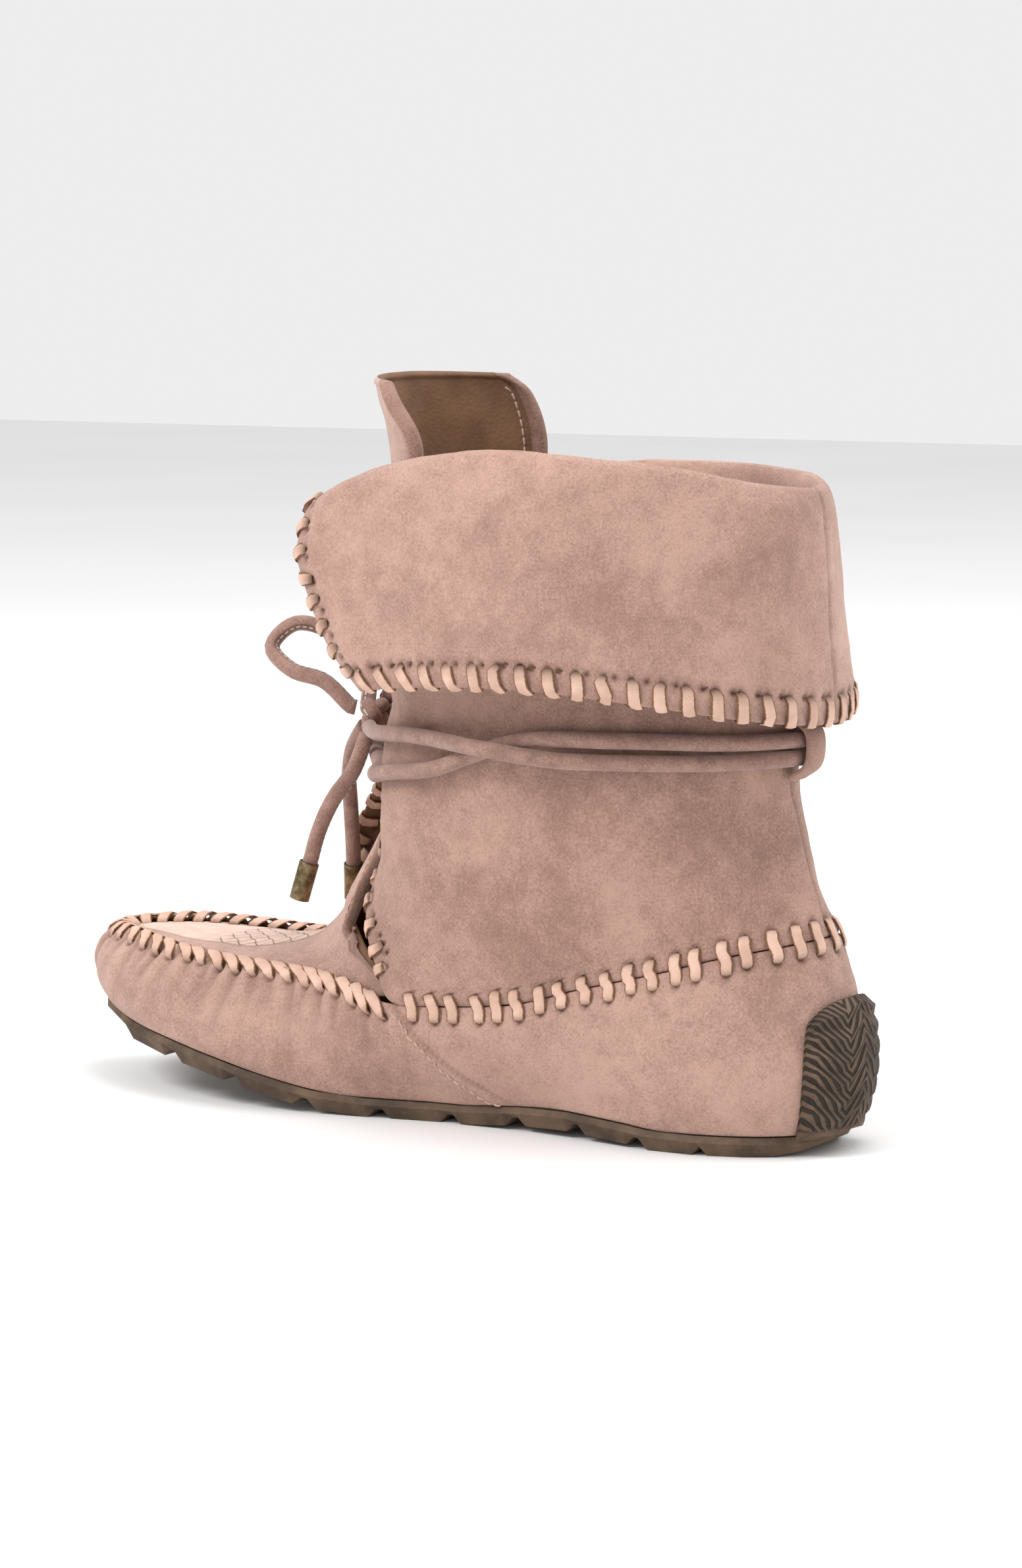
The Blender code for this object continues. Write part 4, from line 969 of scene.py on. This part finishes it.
def apronFinish():
    # suede with a plain leather inlay on the apron, woven at its upper end
    look = Finish("apronSuede", Roughness=0.9, Sheen_Weight=0.3)
    look.shader.inputs["Specular IOR Level"].default_value = 0.18
    place = look.place()
    x = look.add("ShaderNodeSeparateXYZ", inputs={0: place})
    y = Wire(look, x.socket.node.outputs[1])
    z = Wire(look, x.socket.node.outputs[2])
    nap = look.noise(suedeLook["nap"], 4.0, 0.65)
    mottle = look.noise(suedeLook["mottle"], 6.0, 0.62)
    brush = look.noise(suedeLook["brush"], 3.0, 0.5)
    tone = (nap * 0.75 + mottle * 0.45 + brush * 0.8 - 0.45).between(0.30, 0.78)
    suede = look.mix(tone, (0.30, 0.178, 0.140), (0.52, 0.330, 0.266))
    middle = y - 0.0015
    fromMiddle = x + 0.073
    halfWidth = look.math2("SQRT", (0.046 * 0.046 - fromMiddle * fromMiddle).clamp(0.0, 1.0)) * 0.34
    inlay = 1.0 - (abs(middle) - halfWidth).between(-0.0003, 0.0003)
    rimLine = 1.0 - abs(abs(middle) - halfWidth).between(0.0002, 0.0009)
    weave = inlay * (x + 0.083).between(0.0, 0.0012)
    a = (x + middle) / 0.0062
    b = (x - middle) / 0.0062
    over = ((look.math2("FLOOR", a) + look.math2("FLOOR", b)) % 2.0)
    bandA = abs(a % 1.0 - 0.5) * 2.0
    bandB = abs(b % 1.0 - 0.5) * 2.0
    gap = (bandA * over + bandB * (1.0 - over)).between(0.80, 0.96)
    crown = 1.0 - (bandA * over + bandB * (1.0 - over)) * (bandA * over + bandB * (1.0 - over))
    smooth = look.mix(mottle.between(0.3, 0.7), (0.56, 0.375, 0.295), (0.69, 0.480, 0.385))
    color = look.mix(inlay, suede, smooth)
    color = look.mix(weave * gap, color, (0.23, 0.115, 0.07))
    color = look.mix(rimLine * 0.55, color, (0.25, 0.135, 0.095))
    color = look.mix(look.shade(), (0.11, 0.055, 0.038), color)
    fuzz = look.bump(nap * (1.0 - inlay * 0.85), suedeLook["grain"])
    relief = inlay * 0.5 + weave * (crown * 0.6 - gap * 0.6) - rimLine * 0.3
    lumps = look.bump(mottle * (1.0 - inlay * 0.8), suedeLook["lumps"], 0.55, fuzz)
    look.paint(Base_Color=color, Roughness=0.92 - inlay * 0.3, Normal=look.bump(relief, 0.0009, 0.9, lumps))
    return look.material


def mathOne(look, operation, value):
    return look.add("ShaderNodeMath", {"operation": operation}, {0: value})


Finish.math2 = lambda self, operation, value: mathOne(self, operation, value)
apronSuede = apronFinish()
buildTongue()


def buildShaft():
    grid = shaftLeather.grid
    rows, columns = grid.shape[:2]
    z = grid[..., 2]
    rowIndex = np.arange(rows)[:, None]
    onCuff = np.clip((rowIndex - foldAt) / 6.0, 0, 1)
    onShaft = 1 - onCuff
    across = shaftLeather.fromLeft
    # the tie draws the shaft in, with short folds above and below it
    pinch = np.exp(-((z - 0.1085) / 0.0075) ** 2) * onShaft
    folds = np.sin(across / 0.0105 * 2 * math.pi + 2.2 * softNoise(grid, 0.060, 21))
    folds = folds * np.exp(-((z - 0.1085) / 0.014) ** 2) * onShaft
    drape = softNoise(grid * np.array([1.0, 1.0, 0.55]), 0.040, 22) * 0.0011
    drape += softNoise(grid, 0.016, 23) * 0.00028
    fine = softNoise(grid, 0.0070, 24) * 0.00007
    fadeFirst = np.clip(shaftLeather.fromFirst / 0.010, 0, 1)
    fadeLast = np.clip(shaftLeather.fromLast / 0.012, 0, 1)
    fadeSide = np.clip(np.minimum(shaftLeather.fromLeft, shaftLeather.fromRight) / 0.010, 0, 1)
    nearTie = 1 - 0.75 * pinch
    body = (drape * 0.75 * nearTie + folds * 0.00030 - pinch * 0.0004) * fadeFirst * onShaft * fadeSide
    cuffMove = drape * 0.8 * onCuff * (0.3 + 0.7 * fadeLast) * fadeSide
    wavy = 0.00045 * np.sin(across / 0.0074 * 2 * math.pi) * np.exp(-shaftLeather.fromLast / 0.004) * onCuff
    outerHoles = ankleUp + nearHoles + farHoles + nearFlapHoles + farFlapHoles
    sink, dark = dimples(shaftLeather, outerHoles, 0.0011, 0.0009)
    cuffSink, cuffDark = dimples(shaftLeather, cuffHoles, 0.0012, 0.0010)
    backSeam = np.abs(grid[..., 1] - 0.0005)
    seamGroove = np.exp(-(backSeam / 0.0006) ** 2) * (grid[..., 0] > 0.05)
    outer = body - cuffMove + fine - np.maximum(sink, cuffSink) - 0.0005 * seamGroove
    inner = -body + cuffMove + wavy + fine - np.maximum(sink, cuffSink) - 0.0005 * seamGroove
    lowEdge = np.exp(-(shaftLeather.fromLast / 0.0030) ** 2) * onCuff
    shadeOut = np.minimum(dark, cuffDark) * (1 - 0.4 * seamGroove)
    shadeIn = np.minimum(dark, cuffDark) * (1 - 0.35 * seamGroove) * (1 - 0.25 * lowEdge)

    def slotOf(i, j, skin):
        if skin == 0:
            return np.where(i > foldAt, 1, 0)
        return np.where(i > foldAt - 4, 1, 2)
    # the outer shaft below the fold takes the darker suede copy, painted shade
    piece = leatherMesh("shaftSkin", shaftLeather, shaftHalf, outer, inner, [shadedShaftSuede, suedeCuff, lining],
                        slotOf, (shadeOut, shadeIn))
    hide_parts("shaft")
    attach(piece, "root")


buildShaft()
print("skins are sewn")


# thread stitches
thread = {"length": 0.0019, "width": 0.00060, "gap": 0.0007}


def stitchLine(name, path, color):
    points = np.array([point for point, _ in path])
    normals = unit(np.array([normal for _, normal in path]))
    length = lengthAlong(points)
    step = thread["length"] + thread["gap"]
    count = int(length[-1] / step)
    routes = []
    for k in range(count):
        marks = (k + np.array([0.0, 0.2, 0.5, 0.8, 1.0]) * thread["length"] / step) * step
        places = np.interp(marks, length, np.arange(len(points)))
        middle = curveThrough(points, places)
        up = np.stack([np.interp(places, np.arange(len(points)), column) for column in normals.T], 1)
        lifts = np.array([-0.0002, 0.00015, 0.0002, 0.00015, -0.0002])[:, None]
        routes.append((middle + up * lifts, up, unit(np.cross(up[2], middle[-1] - middle[0]))))
    piece = laceRun(name, routes, thread["width"], thread["width"])
    piece.data.materials.clear()
    piece.data.materials.append(color)
    return piece


def threadFinish(name, light, dark):
    look = Finish(name, Roughness=0.8)
    twist = look.noise(2600.0, 2.0, 0.5)
    look.paint(Base_Color=look.mix(twist.between(0.3, 0.7), dark, light), Normal=look.bump(twist, 0.0001, 0.7))
    return look.material


paleThread = threadFinish("paleThread", (0.58, 0.42, 0.34), (0.42, 0.28, 0.22))
stitchLine("sideStitches", sideSeam, paleThread)


def tongueStitches():
    rows, columns = tongueLeather.grid.shape[:2]
    for name, left in (("Near", True), ("Far", False)):
        for skin, sign in (("Outer", 1), ("Lining", -1)):
            path = []
            for row in range(tongueStart + 12, rows - 8, 3):
                point, normal = tongueLeather.fromColumn(row, 0.0064, left)
                path.append((point + normal * sign * (apron["wall"] / 2 + 0.0001), normal * sign))
            stitchLine("tongue" + name + skin + "Stitches", path, paleThread)


tongueStitches()
print("seams are stitched")


# the tie
tie = {"diameter": 0.0044, "knot": (-0.0330, -0.0010, 0.1095)}
wrapRoute = [
    (-0.0312, -0.0059, 0.1071), (-0.0306, -0.0074, 0.1064), (-0.0178, -0.0239, 0.1074),
    (-0.0100, -0.0317, 0.1083), (-0.0011, -0.0374, 0.1090), (0.0083, -0.0418, 0.1095),
    (0.0176, -0.0455, 0.1094), (0.0270, -0.0492, 0.1089), (0.0368, -0.0504, 0.1082),
    (0.0461, -0.0481, 0.1070), (0.0548, -0.0438, 0.1059), (0.0635, -0.0396, 0.1055),
    (0.0725, -0.0358, 0.1055), (0.0811, -0.0310, 0.1055), (0.0890, -0.0251, 0.1055),
    (0.0960, -0.0179, 0.1055), (0.1017, -0.0092, 0.1056), (0.1039, 0.0028, 0.1056),
    (0.0991, 0.0140, 0.1057), (0.0919, 0.0229, 0.1058), (0.0834, 0.0301, 0.1059),
    (0.0739, 0.0359, 0.1060), (0.0639, 0.0404, 0.1059), (0.0534, 0.0436, 0.1058),
    (0.0426, 0.0455, 0.1056), (0.0316, 0.0461, 0.1053), (0.0207, 0.0455, 0.1050),
    (0.0097, 0.0440, 0.1045), (-0.0011, 0.0411, 0.1038), (-0.0116, 0.0370, 0.1031),
    (-0.0218, 0.0316, 0.1024), (-0.0313, 0.0239, 0.1013), (-0.0378, 0.0139, 0.0995),
    (-0.0383, 0.0074, 0.0986), (-0.0239, -0.0121, 0.0964), (-0.0150, -0.0281, 0.0962),
    (-0.0084, -0.0336, 0.0976), (-0.0007, -0.0379, 0.0988), (0.0076, -0.0411, 0.0998),
    (0.0160, -0.0434, 0.1016), (0.0242, -0.0447, 0.1046), (0.0356, -0.0452, 0.1086),
    (0.0466, -0.0443, 0.1110), (0.0563, -0.0424, 0.1116), (0.0653, -0.0395, 0.1115),
    (0.0739, -0.0356, 0.1114), (0.0821, -0.0308, 0.1112), (0.0896, -0.0250, 0.1109),
    (0.0963, -0.0181, 0.1107), (0.1017, -0.0097, 0.1106), (0.1043, 0.0011, 0.1105),
    (0.1005, 0.0124, 0.1106), (0.0939, 0.0213, 0.1107), (0.0860, 0.0287, 0.1109),
    (0.0771, 0.0348, 0.1109), (0.0676, 0.0396, 0.1109), (0.0575, 0.0431, 0.1108),
    (0.0471, 0.0453, 0.1106), (0.0366, 0.0463, 0.1104), (0.0260, 0.0462, 0.1101),
    (0.0155, 0.0452, 0.1098), (0.0049, 0.0437, 0.1095), (-0.0058, 0.0411, 0.1090),
    (-0.0166, 0.0375, 0.1083), (-0.0273, 0.0316, 0.1078), (-0.0364, 0.0216, 0.1074),
    (-0.0344, 0.0062, 0.1095), (-0.0341, 0.0045, 0.1095)]
loopNear = [
    (-0.0376, -0.0039, 0.1113), (-0.0390, -0.0048, 0.1118), (-0.0457, -0.0081, 0.1187), (-0.0554, -0.0102, 0.1215),
    (-0.0630, -0.0092, 0.1279), (-0.0577, -0.0047, 0.1344), (-0.0492, 0.0003, 0.1320), (-0.0414, 0.0019, 0.1254),
    (-0.0347, -0.0001, 0.1178), (-0.0344, -0.0003, 0.1161)]
loopFar = [
    (-0.0373, 0.0025, 0.1104), (-0.0387, 0.0036, 0.1106), (-0.0432, 0.0112, 0.1172), (-0.0501, 0.0179, 0.1225),
    (-0.0543, 0.0250, 0.1298), (-0.0515, 0.0317, 0.1377), (-0.0430, 0.0292, 0.1343), (-0.0392, 0.0213, 0.1276),
    (-0.0357, 0.0131, 0.1210), (-0.0323, 0.0050, 0.1144), (-0.0324, 0.0036, 0.1133)]
endNear = [
    (-0.0339, -0.0039, 0.1037), (-0.0341, -0.0047, 0.1022), (-0.0377, -0.0057, 0.0932), (-0.0437, -0.0066, 0.0850),
    (-0.0483, -0.0072, 0.0758), (-0.0512, -0.0080, 0.0660)]
endFar = [
    (-0.0374, 0.0006, 0.1057), (-0.0386, 0.0011, 0.1046), (-0.0450, 0.0052, 0.0979), (-0.0494, 0.0097, 0.0899),
    (-0.0518, 0.0141, 0.0811), (-0.0535, 0.0174, 0.0717), (-0.0550, 0.0200, 0.0620)]


def tubeMesh(name, points, radius, finish, sides=16, sag=0.0):
    # a cord as a mesh tube, with a low welt along its stitched side
    points = np.array(points)
    ahead = unit(np.gradient(points, axis=0))
    up = np.array([0.0, 0.0, 1.0]) if abs(ahead[0][2]) < 0.8 else np.array([1.0, 0.0, 0.0])
    length = lengthAlong(points)
    rings, flat = [], []
    for k, (point, way) in enumerate(zip(points, ahead)):
        up = unit(up - way * (up @ way))
        side = np.cross(way, up)
        ring, marks = [], []
        for s in range(sides):
            angle = 2 * math.pi * s / sides
            swell = 1.0 + 0.10 * math.exp(-((s / sides - 0.30) / 0.07) ** 2)
            swell += 0.03 * math.sin(length[k] / 0.006 + 3 * angle)
            ring.append(point + (side * math.cos(angle) + up * math.sin(angle)) * radius * swell)
        rings.append(ring)
    vertices = np.array(rings).reshape(-1, 3)
    faces, uvs = [], []
    count = len(points)
    for k in range(count - 1):
        for s in range(sides):
            n = (s + 1) % sides
            faces.append([k * sides + s, k * sides + n, (k + 1) * sides + n, (k + 1) * sides + s])
            uvs += [(s / sides, length[k]), ((s + 1) / sides, length[k]),
                    ((s + 1) / sides, length[k + 1]), (s / sides, length[k + 1])]
    for ring, turned in ((0, True), (count - 1, False)):
        loop = [ring * sides + s for s in range(sides)]
        faces.append(loop[::-1] if turned else loop)
        uvs += [(0.6, length[ring])] * sides
    mesh = bpy.data.meshes.new(name)
    mesh.from_pydata(vertices.tolist(), [], faces)
    mesh.materials.append(finish)
    mesh.uv_layers.new(name="UVMap").data.foreach_set("uv", np.array(uvs, float).ravel())
    mesh.attributes.new("shade", "FLOAT", "POINT").data.foreach_set("value", np.ones(len(vertices), np.float32))
    form = bmesh.new()
    form.from_mesh(mesh)
    bmesh.ops.recalc_face_normals(form, faces=form.faces)
    form.to_mesh(mesh)
    form.free()
    mesh.shade_smooth()
    piece = bpy.data.objects.new(name, mesh)
    scene.collection.objects.link(piece)
    return piece


def evenPath(points, spacing):
    points = np.array(points)
    fine = curveThrough(points, np.linspace(0, len(points) - 1, len(points) * 14))
    length = lengthAlong(fine)
    marks = np.linspace(0, length[-1], max(8, int(length[-1] / spacing)))
    return np.stack([np.interp(marks, length, column) for column in fine.T], 1), float(length[-1])


def addTie():
    runs = (("wrapCord", wrapRoute, "tie_wrap", "knot", "taut"),
            ("loopCordNear", loopNear, "tie_loop_near", "knot", "loose"),
            ("loopCordFar", loopFar, "tie_loop_far", "knot", "loose"),
            ("endCordNear", endNear, "tie_end_near", "fitting", "hanging"),
            ("endCordFar", endFar, "tie_end_far", "fitting", "hanging"))
    for name, route, node, farEnd, lay in runs:
        path, length = evenPath(route, 0.0016)
        piece = tubeMesh(name, path, tie["diameter"] / 2, cordSuede)
        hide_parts(node)
        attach(piece, "root")


def addKnot():
    # the knot: the same cord, wound through itself
    turns = np.linspace(0, 2 * math.pi, 97)
    unitSize = 0.00112
    shape = np.stack([np.sin(turns) + 2 * np.sin(2 * turns), np.cos(turns) - 2 * np.cos(2 * turns),
                      -1.15 * np.sin(3 * turns)], 1)
    shape = np.stack([shape[:, 2] * 1.0, shape[:, 0] * 0.92, shape[:, 1] * 1.05], 1) * unitSize
    piece = tubeMesh("knotCord", shape + np.array(tie["knot"]), tie["diameter"] / 2 * 0.98, cordSuede, 14)
    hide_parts("tie_knot")
    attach(piece, "root")
    return piece


aglet = {"length": 0.0112, "width": 0.0058, "lip": 0.0003}


def addAglet(name, start, end, node):
    # a brass tip: open rim, straight barrel and a rounded nose
    bpy.ops.mesh.primitive_cylinder_add(vertices=36, radius=aglet["width"] / 2, depth=aglet["length"], location=(0, 0, 0))
    piece = bpy.context.active_object
    piece.name = name
    bpy.ops.object.mode_set(mode="EDIT")
    bpy.ops.mesh.select_all(action="DESELECT")
    form = bmesh.from_edit_mesh(piece.data)
    for face in form.faces:
        face.select = face.normal.z > 0.9
    bmesh.update_edit_mesh(piece.data)
    bpy.ops.mesh.inset(thickness=0.00045)
    bpy.ops.mesh.extrude_region_move(TRANSFORM_OT_translate={"value": (0, 0, -0.0006)})
    bpy.ops.mesh.select_all(action="DESELECT")
    form = bmesh.from_edit_mesh(piece.data)
    for face in form.faces:
        face.select = face.normal.z < -0.9
    bmesh.update_edit_mesh(piece.data)
    bpy.ops.mesh.inset(thickness=0.0007)
    bpy.ops.mesh.extrude_region_move(TRANSFORM_OT_translate={"value": (0, 0, -0.0002)})
    bpy.ops.object.mode_set(mode="OBJECT")
    rounding = piece.modifiers.new("rounding", "BEVEL")
    rounding.width = 0.00045
    rounding.segments = 3
    rounding.limit_method = "ANGLE"
    bpy.ops.object.modifier_apply(modifier="rounding")
    start, end = Vector(start), Vector(end)
    turn = (start - end).to_track_quat("Z", "Y").to_matrix().to_4x4()
    piece.data.transform(Matrix.Translation((start + end) / 2) @ turn)
    piece.data.materials.clear()
    piece.data.materials.append(brass)
    bpy.ops.object.shade_smooth_by_angle(angle=math.radians(35))
    piece.select_set(False)
    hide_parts(node)
    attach(piece, "root")
    return piece


knot = addKnot()
tipNear = addAglet("agletTipNear", (-0.0512, -0.0080, 0.0662), (-0.0542, -0.0089, 0.0555), "aglet_near")
tipFar = addAglet("agletTipFar", (-0.0549, 0.0200, 0.0622), (-0.0567, 0.0228, 0.0515), "aglet_far")
addTie()
print("the tie is knotted")


# the strap behind, sole and insole
def softCopy(node, name, finish, levels=2):
    # a rounded copy of a plain solid
    source = nodes[node]
    piece = bpy.data.objects.new(name, source.data.copy())
    scene.collection.objects.link(piece)
    piece.select_set(True)
    bpy.context.view_layer.objects.active = piece
    bpy.ops.object.mode_set(mode="EDIT")
    bpy.ops.mesh.select_all(action="SELECT")
    bpy.ops.mesh.remove_doubles(threshold=0.00001)
    bpy.ops.mesh.tris_convert_to_quads(face_threshold=1.2, shape_threshold=1.2)
    bpy.ops.object.mode_set(mode="OBJECT")
    smooth = piece.modifiers.new("smooth", "SUBSURF")
    smooth.levels = smooth.render_levels = levels
    bpy.ops.object.modifier_apply(modifier="smooth")
    piece.data.materials.clear()
    piece.data.materials.append(finish)
    piece.data.attributes.new("shade", "FLOAT", "POINT").data.foreach_set(
        "value", np.ones(len(piece.data.vertices), np.float32))
    piece.data.shade_smooth()
    piece.select_set(False)
    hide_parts(node)
    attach(piece, "root")
    return piece


softCopy("back_loop", "backStrap", suedeEdge)
for node, finish in (("outsole", rubber), ("insole", lining)):
    nodes[node].data.materials.clear()
    nodes[node].data.materials.append(finish)
insoleShade = nodes["insole"].data.attributes.new("shade", "FLOAT", "POINT")
insoleShade.data.foreach_set("value", np.ones(len(nodes["insole"].data.vertices), np.float32))
print("sole and strap are dressed")


# studio
def addStudio():
    bpy.ops.mesh.primitive_plane_add(size=8.0, location=(0, 0, 0))
    floor = bpy.context.active_object
    floor.name = "studioFloor"
    look = Finish("paleFloor", Roughness=0.85)
    look.shader.inputs["Specular IOR Level"].default_value = 0.1
    look.paint(Base_Color=look.mix(look.noise(3.0).between(0.2, 0.8), (0.84, 0.84, 0.84), (0.87, 0.87, 0.87)))
    floor.data.materials.append(look.material)
    floor.select_set(False)
    world = bpy.data.worlds.new("paleStudio")
    scene.world = world
    world.use_nodes = True
    world.node_tree.nodes["Background"].inputs[0].default_value = (1.0, 1.0, 1.0, 1.0)
    world.node_tree.nodes["Background"].inputs[1].default_value = 0.85
    for name, spot, size, power in (("softKey", (-0.7, -1.3, 1.5), 0.9, 26.0), ("softTop", (0.3, 0.2, 1.9), 1.2, 16.0),
                                    ("softBack", (0.9, 1.2, 1.1), 0.8, 9.0)):
        light = bpy.data.lights.new(name, "AREA")
        light.shape = "DISK"
        light.size = size
        light.energy = power
        lamp = bpy.data.objects.new(name, light)
        lamp.location = spot
        lamp.rotation_euler = (Vector((0.0, 0.0, 0.09)) - Vector(spot)).to_track_quat("-Z", "Y").to_euler()
        scene.collection.objects.link(lamp)
    scene.view_settings.view_transform = "Standard"


addStudio()
print("studio is lit")
